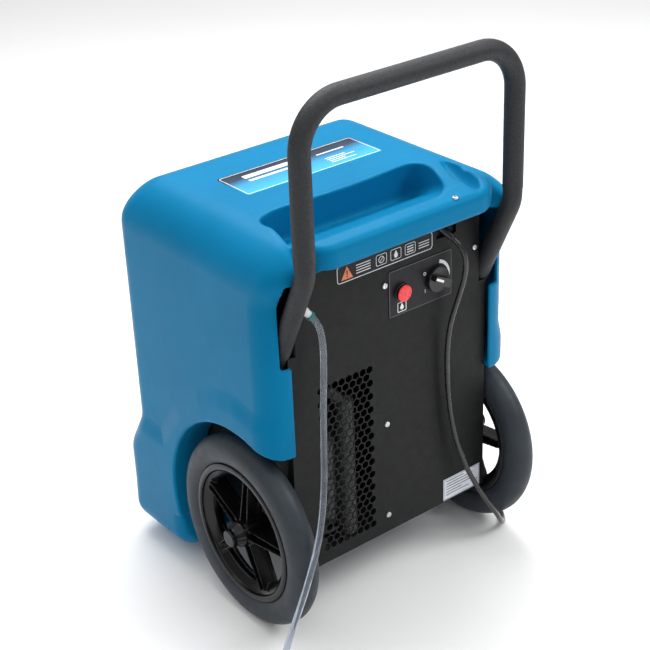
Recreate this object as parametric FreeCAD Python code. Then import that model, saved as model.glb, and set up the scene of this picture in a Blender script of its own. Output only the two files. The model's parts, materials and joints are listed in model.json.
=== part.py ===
"""Portable dehumidifier on two wheels, built as an assembly of separate pieces.

Frame: millimetres, +Z up, floor at z = 0, +X to the right seen from behind the rear panel.
The rear panel faces -Y, the air intake faces +Y.  The origin is under the middle of the machine.
"""
import FreeCAD, Part
import math
import os

V = FreeCAD.Vector
X, Y, Z = V(1, 0, 0), V(0, 1, 0), V(0, 0, 1)

# ---------------------------------------------------------------- driving dimensions
WHEEL_R = 152.4                 # 12 inch wheel
TYRE_WIDTH, TYRE_HEIGHT = 44.0, 48.8
WHEEL_X = 217.0                 # middle plane of each wheel
PANEL_Y = -163.0                # outer face of the rear panel
AXLE_Y = PANEL_Y + 78.0
AXLE_Z = WHEEL_R
HALF_WIDTH = 516.0 / 2          # over the hub caps

HOOD_HALF = 231.0               # side walls of the hood
HOOD_DEPTH = 369.0              # rear panel to the front face of the hood
HOOD_FRONT = PANEL_Y + HOOD_DEPTH
TOE_DEPTH = 400.4               # rear panel to the bulged toe at the foot of the front face
HOOD_TOP = 639.0
HOOD_FOOT = 25.0                # underside of the toe
HOOD_WALL = 5.0
TOP_ROUND = 75.0
CORNER_ROUND = 40.0

PANEL_HALF = 187.6
PANEL_BOTTOM = 93.0
PANEL_TOP = 579.0
PANEL_THICK = 1.5

HANDLE_X = 189.6
HANDLE_Y = PANEL_Y - 51.4
HANDLE_TOP = 840.3              # centre of the grip bar
HANDLE_R = 14.3                 # 1 1/8 inch tube
HANDLE_WALL = 2.0
GRIP_R = 15.0
HANDLE_CORNER = 66.0
HANDLE_KNEE_Z = 603.0
HANDLE_SLOPE = 61.2 / 127.3     # forward run of the lower leg for each mm of drop

CHASSIS_HALF = HANDLE_X - HANDLE_R      # outer face of the side plates, which carry the handle
CHASSIS_FRONT = PANEL_Y + 338.0
SHEET = 2.0

KNOB_X, KNOB_Z = 87.4, 495.4
KNOB_REST = -60.0               # turn of the knob's bar from upright, in degrees
BUTTON_X, BUTTON_Z = 20.4, 495.5
PLATE_T = 0.8                   # control plate
SCREW_SPOTS = [(-11.3, 515.5), (164.0, 521.0), (-12.2, 286.6), (-12.7, 124.0)]      # x, z on the panel
LIP_SCREW = (88.0, PANEL_Y - 40.0, 633.2)       # seat of the screw in the top of the lip
FAN_Z = 372.0
FAN_R = 112.0
RUNNING = 0.05                  # radial clearance of a running fit

FOOT_X, FOOT_Y = 168.0, PANEL_Y + 318.0         # front feet
INTAKE_HALF, INTAKE_LOW, INTAKE_HIGH = 148.0, 252.0, 552.0      # opening for the air intake

GRILLE_PITCH = 13.0             # honeycomb in the rear panel
GRILLE_WEB = 2.1
GRILLE_LEFT, GRILLE_RIGHT = -140.0, -31.0
GRILLE_LOW, GRILLE_HIGH = 114.0, 398.0

BOLT_HEIGHTS = (350.0, 392.0)   # bolts through the handle's legs
BOLT_Y = PANEL_Y + 40.0
LEG_FOOT_Z = 334.0              # lower end of each leg

AXLE_R = 8.0
HUB_R = 22.0
HUB_IN, HUB_OUT = -26.0, 28.0   # ends of the hub barrel, from the wheel's middle plane
BUSH_R = 11.0
SPOKE_START = 10.0              # turn of the first spoke from upright, in degrees
RIM_SECTION = [(-18, 104), (-18, 112), (-14, 112), (-9, 102), (9, 102), (14, 112), (18, 112), (18, 104),
               (14, 100), (10, 97), (-10, 97), (-14, 100)]

COMPRESSOR_X = -80.0
GROMMETS = [(-56, -38), (56, -38), (-56, 38), (56, 38)]
FLOAT_X, FLOAT_Y = 126.0, PANEL_Y + 96.0

MAINS_R = 4.0                   # mains lead
HOSE_R = 4.75                   # drain hose
FITTING_X, FITTING_Z = -163.0, 532.0            # drain outlet in the panel
ELBOW_Y = PANEL_Y - 12.0
HOSE_OUT = V(0.62, -0.30, -0.72).normalize()    # heading of the hose as it leaves the elbow
SPOUT = 8.0
HOSE_START = V(FITTING_X, ELBOW_Y, FITTING_Z) + HOSE_OUT * SPOUT
CORD_X, CORD_Z = 108.0, 567.0                   # cut-out for the mains lead
CORD_START = V(111.0, PANEL_Y - 9.0, 555.5)
CORD_OUT = V(7.0, -13.2, -11.2).normalize()
RELIEF_LENGTH, RELIEF_HEAD = 26.0, 4.0
RELIEF_TAIL = CORD_START - CORD_OUT * (RELIEF_LENGTH + RELIEF_HEAD)

# Free runs of the lead and the hose, and the coils that their spare length is wound into:
# centre x, centre y, outer radius, inner radius, height.
MAINS_ROUTE = [(111.0, -172.0, 555.5), (118.0, -185.2, 544.3), (121.5, -190.5, 521.0), (121.0, -189.0, 496.0),
               (114.0, -184.0, 464.0), (101.5, -178.0, 420.0), (98.0, -175.0, 374.0), (99.0, -175.0, 320.0),
               (104.5, -176.0, 262.0), (114.0, -180.0, 208.0), (131.0, -188.0, 152.0), (157.0, -197.0, 98.0),
               (184.0, -200.0, 54.0), (207.0, -190.0, 20.0), (231.0, -170.0, 4.05), (250.0, -142.0, 4.05),
               (259.0, -106.0, 4.05), (262.0, -60.0, 4.05), (263.0, -10.0, 4.05), (263.5, 40.0, 4.05)]
HOSE_ROUTE = [(-158.0, -177.4, 526.2), (-148.7, -181.9, 515.4), (-144.0, -187.0, 492.0),
              (-145.5, -190.0, 452.0), (-152.5, -194.0, 396.0), (-162.0, -203.0, 336.0),
              (-176.0, -219.0, 276.0), (-204.0, -240.0, 213.0), (-243.0, -253.0, 148.0),
              (-279.0, -258.0, 88.0), (-300.0, -262.0, 46.0), (-312.0, -266.0, 16.0),
              (-326.0, -269.0, 4.8), (-345.0, -271.0, 4.8)]
MAINS_COIL = (322.0, 77.0, 62.0, 24.0, 16.6)
HOSE_COIL = (-345.0, -343.0, 76.0, 32.0, 19.6)
PLUG_Y = 99.0

PARTS = {}


# ---------------------------------------------------------------- shape helpers
def fwd(distance):
    """y of a point this far forward of the rear panel's outer face."""
    return PANEL_Y + distance


def box(x0, x1, y0, y1, z0, z1):
    return Part.makeBox(x1 - x0, y1 - y0, z1 - z0, V(x0, y0, z0))


def rod(start, direction, radius, length):
    return Part.makeCylinder(radius, length, V(*start), direction)


def ring(start, direction, outer, inner, length):
    return rod(start, direction, outer, length).cut(rod(start, direction, inner, length))


def mirror_x(shape):
    return shape.mirror(V(0, 0, 0), X)


def both_sides(shape):
    return [shape, mirror_x(shape)]


def fused(shapes):
    first, rest = shapes[0], shapes[1:]
    return first.fuse(rest).removeSplitter() if rest else first


def edges_where(shape, test):
    return [e for e in shape.Edges if test(e)]


def runs_along(edge, axis):
    if not isinstance(edge.Curve, Part.Line):
        return False
    return abs(abs(edge.Curve.Direction.dot(axis)) - 1) < 1e-6


def rounded(shape, radius, axis, test=lambda c: True):
    """Round the straight edges that run along an axis and whose middle passes the test."""
    picked = edges_where(shape, lambda e: runs_along(e, axis) and test(e.CenterOfMass))
    return shape.makeFillet(radius, picked)


def soft_path(points, radii=None, closed=False):
    """Straight runs joined by tangent arcs, and the arcs' radii."""
    count = len(points)
    corners = range(count) if closed else range(1, count - 1)
    starts, ends, arcs, used = {}, {}, {}, {}
    for i in corners:
        before, here, after = points[i - 1], points[i], points[(i + 1) % count]
        a, b = (before - here), (after - here)
        turn = math.pi - a.getAngle(b)
        if radii is None:
            radius = 0.45 * min(a.Length, b.Length) / math.tan(turn / 2)
        else:
            radius = radii[i] if isinstance(radii, (list, tuple)) else radii
        if radius <= 0 or turn < 1e-4:
            starts[i] = ends[i] = here
            continue
        cut = radius * math.tan(turn / 2)
        if cut > min(a.Length, b.Length):
            raise ValueError("corner %d is too tight for radius %.1f" % (i, radius))
        a.normalize()
        b.normalize()
        middle = here + (a + b).normalize() * (radius / math.cos(turn / 2) - radius)
        starts[i], ends[i] = here + (before - here).normalize() * cut, here + b * cut
        arcs[i] = Part.Arc(starts[i], middle, ends[i]).toShape()
        used[i] = radius
    if not closed:
        starts[0] = ends[0] = points[0]
        starts[count - 1] = ends[count - 1] = points[-1]
    edges = []
    for i in range(count if closed else count - 1):
        j = (i + 1) % count
        if i in arcs:
            edges.append(arcs[i])
        if (ends[i] - starts[j]).Length > 1e-6:
            edges.append(Part.LineSegment(ends[i], starts[j]).toShape())
    return Part.Wire(edges), used


def outline(points, lift, radii=0.0):
    """Closed outline with rounded corners; lift turns each (a, b) pair into a point."""
    return soft_path([lift(a, b) for a, b in points], radii, closed=True)[0]


def prism(points, lift, along, radii=0.0):
    return Part.Face(outline(points, lift, radii)).extrude(along)


def side_prism(points, x0, x1, radii=0.0):
    """Extrude a (distance forward of the panel, z) outline from x0 to x1."""
    return prism(points, lambda a, b: V(x0, fwd(a), b), V(x1 - x0, 0, 0), radii)


def plan_prism(points, z0, z1, radii=0.0):
    """Extrude an (x, distance forward of the panel) outline from z0 to z1."""
    return prism(points, lambda a, b: V(a, fwd(b), z0), V(0, 0, z1 - z0), radii)


def front_prism(points, y0, y1, radii=0.0):
    """Extrude an (x, z) outline from y0 to y1."""
    return prism(points, lambda a, b: V(a, y0, b), V(0, y1 - y0, 0), radii)


def sweep(path, radius):
    start = path.OrderedVertexes[0].Point
    heading = path.OrderedEdges[0].tangentAt(path.OrderedEdges[0].FirstParameter)
    disc = Part.Wire(Part.Circle(start, heading, radius).toShape())
    return path.makePipeShell([disc], True, False)


def revolve_x(points, x_sign, radii=0.0):
    """Turn an (offset from the wheel plane, radius) outline about the axle."""
    middle = x_sign * WHEEL_X
    face = Part.Face(outline(points, lambda a, b: V(middle + x_sign * a, AXLE_Y, AXLE_Z + b), radii))
    return face.revolve(V(0, AXLE_Y, AXLE_Z), X, 360)


def hexagon(cx, cz, across, y):
    """Hexagon wire with points up and down in a plane of constant y."""
    r = across / math.sqrt(3)
    corners = [V(cx + r * math.sin(math.radians(60 * k)), y, cz + r * math.cos(math.radians(60 * k)))
               for k in range(7)]
    return Part.makePolygon(corners)


def hex_head(start, direction, across, height):
    """Hexagonal bolt head or nut body."""
    r = across / math.sqrt(3)
    axis = V(direction).normalize()
    side = axis.cross(Z if abs(axis.z) < 0.9 else X).normalize()
    up = axis.cross(side)
    corners = [V(*start) + side * (r * math.cos(math.radians(60 * k)))
               + up * (r * math.sin(math.radians(60 * k))) for k in range(7)]
    return Part.Face(Part.makePolygon(corners)).extrude(axis * height)


def pan_screw(start, outward, shank, length, head_r=4.6, head_h=2.6):
    """Pan-head screw whose head stands outward from start and whose shank goes the other way."""
    axis = V(outward).normalize()
    head = Part.makeCylinder(head_r, head_h, V(*start), axis)
    crown = edges_where(head, lambda e: (e.CenterOfMass - V(*start)).Length > head_h * 0.9)
    head = head.makeFillet(1.4, crown)
    slot_a = box(-head_r, head_r, -0.5, 0.5, 0, 1.2)
    slot_b = box(-0.5, 0.5, -head_r, head_r, 0, 1.2)
    cross = slot_a.fuse(slot_b).common(Part.makeCylinder(head_r * 0.62, 1.2))
    turn = FreeCAD.Rotation(Z, axis)
    cross.Placement = FreeCAD.Placement(V(*start) + axis * (head_h - 1.0), turn)
    return head.cut(cross).fuse(Part.makeCylinder(shank, length, V(*start), axis * -1)).removeSplitter()


def add(name, shape):
    solids = shape if isinstance(shape, list) else [shape]
    parts = [s for item in solids for s in item.Solids]
    PARTS[name] = parts[0] if len(parts) == 1 else Part.makeCompound(parts)


# ---------------------------------------------------------------- hood
def hood_form(inset):
    """Outer form of the hood, or the space inside it when inset is the wall thickness."""
    half, top, foot = HOOD_HALF - inset, HOOD_TOP - inset, HOOD_FOOT + inset
    front, toe = HOOD_DEPTH - inset, TOE_DEPTH - inset
    side = side_prism([(inset, foot), (inset, top), (front, top), (front, foot)], -half, half,
                      [0, 0, TOP_ROUND - inset, 0])
    plan = plan_prism([(-half, inset), (half, inset), (half, front), (-half, front)], foot, top,
                      CORNER_ROUND - inset)
    rear = front_prism([(-half, foot), (-half, top), (half, top), (half, foot)], fwd(inset), fwd(front),
                       [0, TOP_ROUND - inset, TOP_ROUND - inset, 0])
    body = side.common(plan).common(rear)
    toe_side = side_prism([(236 + inset, foot), (236 + inset, 223), (front - 20, 223), (front, 222),
                           (toe, 163), (toe, foot)], -half, half, [6, 0, 0, 20, 30, 40 - inset])
    toe_plan = plan_prism([(-half, 200), (half, 200), (half, toe), (-half, toe)], foot, 240,
                          [0, 0, 48 - inset, 48 - inset])
    return body.fuse(toe_side.common(toe_plan))


def pocket_form(grow):
    """Storage pocket in the top: a wedge that is deepest at its forward side."""
    wedge = side_prism([(-26 - grow, 645), (-26 - grow, 633 - grow), (-8, 627 - 1.1 * grow),
                        (74, 590 - 1.1 * grow), (84 + grow, 592 - grow), (98 + grow, 645)],
                       -190, 160, [0, 8, 40, 12, 8, 0])
    rim = [(-152 - grow, -26 - grow), (-168 - grow, 40), (-156 - grow, 97 + grow), (-100, 90 + grow),
           (-30, 84 + grow), (45, 85 + grow), (122 + grow, 99 + grow), (130 + grow, 62),
           (92 + grow, -26 - grow)]
    plan = plan_prism(rim, 560, 645, [24, 60, 20, 60, 200, 90, 15, 40, 30])
    return wedge.common(plan)


def wheel_arch(x_sign):
    """Room for the wheel, cut from the hood's side."""
    reach, middle_y, middle_z = 176.0, AXLE_Y - 4, AXLE_Z + 2.6
    diagonal = reach * math.sqrt(0.5)
    top, bend = V(0, middle_y, middle_z + reach), V(0, middle_y + diagonal, middle_z + diagonal)
    before = [V(0, fwd(-60), 0), V(0, fwd(-60), 314), V(0, fwd(6), 318), V(0, fwd(38), top.z), top]
    after = [V(0, middle_y + reach, middle_z), V(0, fwd(240), 0), before[0]]
    edges = [Part.LineSegment(a, b).toShape() for a, b in zip(before, before[1:])]
    edges.append(Part.Arc(top, bend, after[0]).toShape())
    edges += [Part.LineSegment(a, b).toShape() for a, b in zip(after, after[1:])]
    cut = Part.Face(Part.Wire(edges)).extrude(X * 80)
    cut.translate(X * (CHASSIS_HALF + 4))
    return cut if x_sign > 0 else mirror_x(cut)


def intake_outline(inset, y0, y1, radius):
    """Rounded block that fills the intake opening less an inset all round."""
    half, low, high = INTAKE_HALF - inset, INTAKE_LOW + inset, INTAKE_HIGH - inset
    return front_prism([(-half, low), (-half, high), (half, high), (half, low)], y0, y1, radius)


def build_hood():
    flare = side_prism([(20, 326), (20, 372), (76, 376), (190, 330), (262, 210), (250, 150)],
                       HOOD_HALF - 1, HOOD_HALF + 6, [0, 20, 60, 60, 30, 0])
    outer = hood_form(0).fuse(both_sides(flare))
    lip = box(-174, 174, fwd(-50), fwd(30), 604, HOOD_TOP)
    lip = rounded(lip, 26, Z, lambda c: c.y < fwd(-40))
    lip = rounded(lip, 15, X, lambda c: c.y < fwd(-40))
    inner = hood_form(HOOD_WALL)
    hood = outer.fuse(lip).cut(inner)
    hood = hood.fuse(pocket_form(HOOD_WALL).common(outer.fuse(lip)))
    hood = hood.cut(pocket_form(0))
    rear_gap = box(-PANEL_HALF - 0.6, PANEL_HALF + 0.6, fwd(-1), fwd(40), 0, PANEL_TOP)
    leg_gap = box(CHASSIS_HALF - 2, HANDLE_X + HANDLE_R + 4, fwd(-1), fwd(30), 452, PANEL_TOP + 10)
    well = box(-CHASSIS_HALF - 4, CHASSIS_HALF + 4, fwd(-1), CHASSIS_FRONT + 3, 84, 300)
    open_floor = box(-CHASSIS_HALF - 4, CHASSIS_HALF + 4, fwd(-1), fwd(260), 0, 300)
    intake = intake_outline(0, HOOD_FRONT - 12, HOOD_FRONT + 4, 18.0)
    cuts = both_sides(leg_gap) + [rear_gap, well, open_floor, intake, wheel_arch(1), wheel_arch(-1)]
    hood = hood.cut(cuts)
    foot_holes = [rod((s * FOOT_X, FOOT_Y, HOOD_FOOT - 1), Z, 3.2, 8) for s in (1, -1)]
    seat = rod(LIP_SCREW, Z, 6.0, 10)
    thread = rod(LIP_SCREW, -Z, 2.2, 12)
    hood = hood.cut(foot_holes + [seat, thread])
    big = max(hood.Solids, key=lambda s: s.Volume)
    return big.removeSplitter()


add("housing_shell", build_hood())


def build_feet():
    feet, screws = [], []
    for s in (1, -1):
        foot = Part.makeCone(19, 17, HOOD_FOOT, V(s * FOOT_X, FOOT_Y, 0), Z)
        foot = foot.cut(rod((s * FOOT_X, FOOT_Y, 0), Z, 8, 10)).cut(rod((s * FOOT_X, FOOT_Y, 0), Z, 3.2, 30))
        feet.append(foot)
        bolt = hex_head((s * FOOT_X, FOOT_Y, 5), Z, 10, 4.5)
        bolt = bolt.fuse(rod((s * FOOT_X, FOOT_Y, 9), Z, 3, 26)).removeSplitter()
        nut = hex_head((s * FOOT_X, FOOT_Y, HOOD_FOOT + HOOD_WALL), Z, 10, 5)
        screws += [bolt, nut.cut(rod((s * FOOT_X, FOOT_Y, 20), Z, 3, 30))]
    add("front_feet", feet)
    return screws


foot_bolts = build_feet()

# ---------------------------------------------------------------- chassis
def grille_holes(y):
    """Honeycomb of hexagons, every second row shifted by half a pitch."""
    holes, row_step = [], GRILLE_PITCH * math.sqrt(3) / 2
    rows = int((GRILLE_HIGH - GRILLE_LOW - GRILLE_PITCH) / row_step) + 1
    for row in range(rows):
        z = GRILLE_LOW + GRILLE_PITCH / 2 + row * row_step
        shift = GRILLE_PITCH / 2 if row % 2 else 0
        x = GRILLE_LEFT + GRILLE_PITCH / 2 + shift
        while x + GRILLE_PITCH / 2 <= GRILLE_RIGHT + 0.1:
            holes.append(hexagon(x, z, GRILLE_PITCH - GRILLE_WEB, y))
            x += GRILLE_PITCH
    return holes


def build_rear_panel():
    top = PANEL_TOP - 2
    corners = [(-PANEL_HALF, PANEL_BOTTOM), (PANEL_HALF, PANEL_BOTTOM), (PANEL_HALF, top), (-PANEL_HALF, top)]
    rim = Part.makePolygon([V(a, PANEL_Y, b) for a, b in corners + corners[:1]])
    rounds = [(KNOB_X, KNOB_Z, 5.2), (BUTTON_X, BUTTON_Z, 11.2), (FITTING_X, FITTING_Z, 6.2)]
    rounds += [(x, z, 2.2) for x, z in SCREW_SPOTS]
    holes = [Part.Wire(Part.Circle(V(x, PANEL_Y, z), Y, r).toShape()) for x, z, r in rounds]
    face = Part.Face([rim] + holes + grille_holes(PANEL_Y))
    plate = face.extrude(Y * PANEL_THICK)
    flange = box(PANEL_HALF - PANEL_THICK, PANEL_HALF, PANEL_Y, fwd(14), PANEL_BOTTOM, top)
    plate = fused([plate] + both_sides(flange))
    notch = box(CHASSIS_HALF - 1.5, PANEL_HALF + 1, fwd(-1), fwd(15), 461, PANEL_TOP)
    flange_notch = box(CHASSIS_HALF - 1.5, PANEL_HALF + 1, fwd(PANEL_THICK), fwd(15), 425, PANEL_TOP)
    cord_notch = box(CORD_X - 19, CORD_X + 19, fwd(-1), fwd(3), CORD_Z - 11, PANEL_TOP)
    return plate.cut(both_sides(notch) + both_sides(flange_notch) + [cord_notch])


def build_chassis():
    add("rear_panel", build_rear_panel())
    floor = box(-CHASSIS_HALF + SHEET, CHASSIS_HALF - SHEET, fwd(PANEL_THICK), CHASSIS_FRONT, PANEL_BOTTOM,
                PANEL_BOTTOM + SHEET)
    kerb = box(-CHASSIS_HALF + SHEET, CHASSIS_HALF - SHEET, CHASSIS_FRONT - SHEET, CHASSIS_FRONT,
               PANEL_BOTTOM, PANEL_BOTTOM + 22)
    add("base_pan", fused([floor, kerb]))
    for name, s in (("right", 1), ("left", -1)):
        plate = side_prism([(PANEL_THICK, PANEL_BOTTOM), (PANEL_THICK, 572), (110, 572), (150, 556),
                            (338, 556), (338, PANEL_BOTTOM)], CHASSIS_HALF - SHEET, CHASSIS_HALF,
                           [0, 6, 20, 20, 8, 0])
        plate = plate.cut(rod((0, AXLE_Y, AXLE_Z), X, 8.1, 200))
        plate = plate.cut([rod((150, BOLT_Y, z), X, 4.1, 60) for z in BOLT_HEIGHTS])
        plate = plate if s > 0 else mirror_x(plate)
        add("side_plate_" + name, plate)


# ---------------------------------------------------------------- handle
def handle_points(x_sign):
    x, ankle = x_sign * HANDLE_X, HANDLE_KNEE_Z - (BOLT_Y - HANDLE_Y) / HANDLE_SLOPE
    leg = [V(x, BOLT_Y, LEG_FOOT_Z), V(x, BOLT_Y, ankle)]
    return leg + [V(x, HANDLE_Y, HANDLE_KNEE_Z), V(x, HANDLE_Y, HANDLE_TOP)]


def build_handle():
    points = handle_points(-1) + handle_points(1)[::-1]
    radii = [0, 50, 60, HANDLE_CORNER, HANDLE_CORNER, 60, 50, 0]
    path, _ = soft_path(points, radii)
    holes = [rod((s * (CHASSIS_HALF - 8), BOLT_Y, z), X * s, 4.1, 60) for s in (1, -1) for z in BOLT_HEIGHTS]
    add("handle_tube", sweep(path, HANDLE_R).cut(sweep(path, HANDLE_R - HANDLE_WALL)).cut(holes))
    grip_low = HANDLE_KNEE_Z + 22
    grip_points = [V(-HANDLE_X, HANDLE_Y, grip_low), V(-HANDLE_X, HANDLE_Y, HANDLE_TOP),
                   V(HANDLE_X, HANDLE_Y, HANDLE_TOP), V(HANDLE_X, HANDLE_Y, grip_low)]
    grip_path, _ = soft_path(grip_points, [0, HANDLE_CORNER, HANDLE_CORNER, 0])
    add("handle_grip", sweep(grip_path, GRIP_R).cut(sweep(grip_path, HANDLE_R)))
    bolts = []
    for s in (1, -1):
        for z in BOLT_HEIGHTS:
            outer = HANDLE_X + HANDLE_R
            head = hex_head((s * outer, BOLT_Y, z), X * s, 13, 5.3)
            bolts.append(head.fuse(rod((s * outer, BOLT_Y, z), X * -s, 4, 42)).removeSplitter())
            nut = hex_head((s * (CHASSIS_HALF - SHEET), BOLT_Y, z), X * -s, 13, 6.5)
            bolts.append(nut.cut(rod((0, BOLT_Y, z), X * s, 4, 300)))
    add("frame_bolts", bolts + foot_bolts)


build_chassis()
build_handle()

# ---------------------------------------------------------------- wheels
def build_wheel(side, s):
    rim = revolve_x(RIM_SECTION, s, [1, 1, 1, 3, 3, 1, 1, 1, 2, 2, 2, 2])
    barrel = rod((s * (WHEEL_X + HUB_IN), AXLE_Y, AXLE_Z), X * s, HUB_R, HUB_OUT - HUB_IN)
    spokes = []
    for k in range(5):
        spoke = prism([(-11, 17), (11, 17), (7, 99), (-7, 99)],
                      lambda a, b: V(s * (WHEEL_X - 9), AXLE_Y + a, AXLE_Z + b), X * (s * 3))
        walls = [prism([(-16, 18), (24, 18), (9, 99), (-9, 99)],
                       lambda a, b: V(s * (WHEEL_X + a), AXLE_Y + near + (b - 18) * lean, AXLE_Z + b), Y * 3)
                 for near, lean in ((-11, 0.05), (8, -0.05))]
        turned = fused([spoke] + walls)
        turned.rotate(V(0, AXLE_Y, AXLE_Z), X, 72 * k + SPOKE_START)
        spokes.append(turned)
    bore = rod((s * 170, AXLE_Y, AXLE_Z), X * s, BUSH_R, 90)
    hub = fused([rim, barrel] + spokes).cut(bore)
    add("wheel_hub_" + side, hub.removeSplitter())

    section = V(s * WHEEL_X, AXLE_Y, AXLE_Z + WHEEL_R - TYRE_HEIGHT / 2)
    oval = Part.Ellipse(section + Z * (TYRE_HEIGHT / 2), section + X * (TYRE_WIDTH / 2), section)
    torus = Part.Face(Part.Wire(oval.toShape())).revolve(V(0, AXLE_Y, AXLE_Z), X, 360)
    filled_rim = revolve_x([(-18, 90)] + RIM_SECTION[1:7] + [(18, 90)], s, [0, 1, 1, 3, 3, 1, 1, 0])
    tyre = torus.cut(filled_rim)
    add("tyre_" + side, max(tyre.Solids, key=lambda p: p.Volume))

    start = (s * (WHEEL_X + HUB_IN), AXLE_Y, AXLE_Z)
    add("hub_bush_" + side, ring(start, X * s, BUSH_R, AXLE_R + RUNNING, HUB_OUT - HUB_IN))
    hub_end = WHEEL_X + HUB_OUT
    cap = rod((s * hub_end, AXLE_Y, AXLE_Z), X * s, 19, HALF_WIDTH - hub_end)
    cap = cap.makeFillet(3, edges_where(cap, lambda e: abs(e.CenterOfMass.x) > HALF_WIDTH - 0.5))
    cavity = rod((s * (hub_end - 1), AXLE_Y, AXLE_Z), X * s, 15.5, HALF_WIDTH - hub_end - 1.5)
    add("hub_cap_" + side, cap.cut(cavity))

    shoulder = rod((s * CHASSIS_HALF, AXLE_Y, AXLE_Z), X * s, 13, 12)
    shaft_in, shaft_out = CHASSIS_HALF - 22, hub_end + 6
    shaft = rod((s * shaft_in, AXLE_Y, AXLE_Z), X * s, AXLE_R, shaft_out - shaft_in)
    add("stub_axle_" + side, shoulder.fuse(shaft).removeSplitter())
    nut = hex_head((s * (CHASSIS_HALF - SHEET), AXLE_Y, AXLE_Z), X * -s, 24, 12)
    nut = nut.cut(rod((0, AXLE_Y, AXLE_Z), X * s, AXLE_R, 300))
    thrust = ring((s * (CHASSIS_HALF + 12), AXLE_Y, AXLE_Z), X * s, 14, AXLE_R, 3.2)
    clip = ring((s * (hub_end + 0.5), AXLE_Y, AXLE_Z), X * s, 13, AXLE_R, 2.5)
    return [nut, thrust, clip]


add("axle_fasteners", build_wheel("right", 1) + build_wheel("left", -1))

# ---------------------------------------------------------------- controls on the rear panel
def build_controls():
    plate = box(-4, 118, fwd(-PLATE_T), PANEL_Y, 460, 534)
    plate = rounded(plate, 3, Y)
    holes = [rod((KNOB_X, fwd(-3), KNOB_Z), Y, 5.2, 5), rod((BUTTON_X, fwd(-3), BUTTON_Z), Y, 11.2, 5)]
    add("control_plate", plate.cut(holes))
    add("hazard_label", box(-98, 82, fwd(-0.3), PANEL_Y, 543.5, 573.5))
    add("rating_label", box(102, 180, fwd(-0.3), PANEL_Y, 96, 135))
    add("top_label", rounded(box(-125, 125, fwd(159), fwd(238), HOOD_TOP, HOOD_TOP + 0.4), 4, Z))

    face = fwd(-PLATE_T - 0.5)
    skirt = rod((KNOB_X, face, KNOB_Z), V(0, -1, 0), 20, 7)
    skirt = skirt.makeFillet(1.5, edges_where(skirt, lambda e: e.CenterOfMass.y < face - 6))
    bar = prism([(-7, -16), (-4.5, 18.5), (4.5, 18.5), (7, -16)],
                lambda a, b: V(KNOB_X + a, face - 6, KNOB_Z + b), V(0, -11, 0), 3.5)
    bar.rotate(V(KNOB_X, face, KNOB_Z), Y, KNOB_REST)
    shaft = rod((KNOB_X, fwd(-12), KNOB_Z), Y, 3, 26)
    add("control_knob", skirt.fuse(bar).removeSplitter().cut(shaft))
    add("knob_shaft", shaft)
    switch = box(KNOB_X - 24, KNOB_X + 24, fwd(PANEL_THICK), fwd(34), KNOB_Z - 20, KNOB_Z + 20)
    collar = rod((KNOB_X, fwd(-PLATE_T - 0.2), KNOB_Z), Y, 5.0, 4)
    socket = rod((KNOB_X, fwd(-2), KNOB_Z), Y, 3 + RUNNING, 18)
    add("humidistat", rounded(switch, 3, Y).fuse(collar).removeSplitter().cut(socket))

    bezel = ring((BUTTON_X, fwd(-PLATE_T), BUTTON_Z), V(0, -1, 0), 14, 11.0, 3.2)
    thread = ring((BUTTON_X, fwd(-PLATE_T), BUTTON_Z), Y, 11.1, 10.2, 12)
    nut = ring((BUTTON_X, fwd(PANEL_THICK), BUTTON_Z), Y, 15, 11.1, 4)
    rim = edges_where(bezel, lambda e: e.CenterOfMass.y < fwd(-3.5) and e.Length > 80)
    bezel = bezel.makeFillet(1.2, rim)
    elbow_nut = hex_head((FITTING_X, fwd(PANEL_THICK), FITTING_Z), Y, 17, 5)
    screws = [pan_screw((x, PANEL_Y, z), V(0, -1, 0), 2.0, 9) for x, z in SCREW_SPOTS]
    screws.append(pan_screw(LIP_SCREW, Z, 2.0, 9))
    add("panel_fasteners", screws + [nut, elbow_nut.cut(rod((FITTING_X, PANEL_Y, FITTING_Z), Y, 6, 20))])
    cap = rod((BUTTON_X, fwd(-PLATE_T - 7.5), BUTTON_Z), Y, 10.6, 3.2)
    cap = cap.makeFillet(1.2, edges_where(cap, lambda e: e.CenterOfMass.y < fwd(-8)))
    stem = rod((BUTTON_X, fwd(-PLATE_T - 5), BUTTON_Z), Y, 5, 10)
    add("purge_button", cap.fuse(stem).removeSplitter())
    block = box(BUTTON_X - 10, BUTTON_X + 10, fwd(11.2), fwd(40), BUTTON_Z - 13, BUTTON_Z + 13)
    add("purge_switch", fused([bezel, thread, block]))


build_controls()

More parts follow.
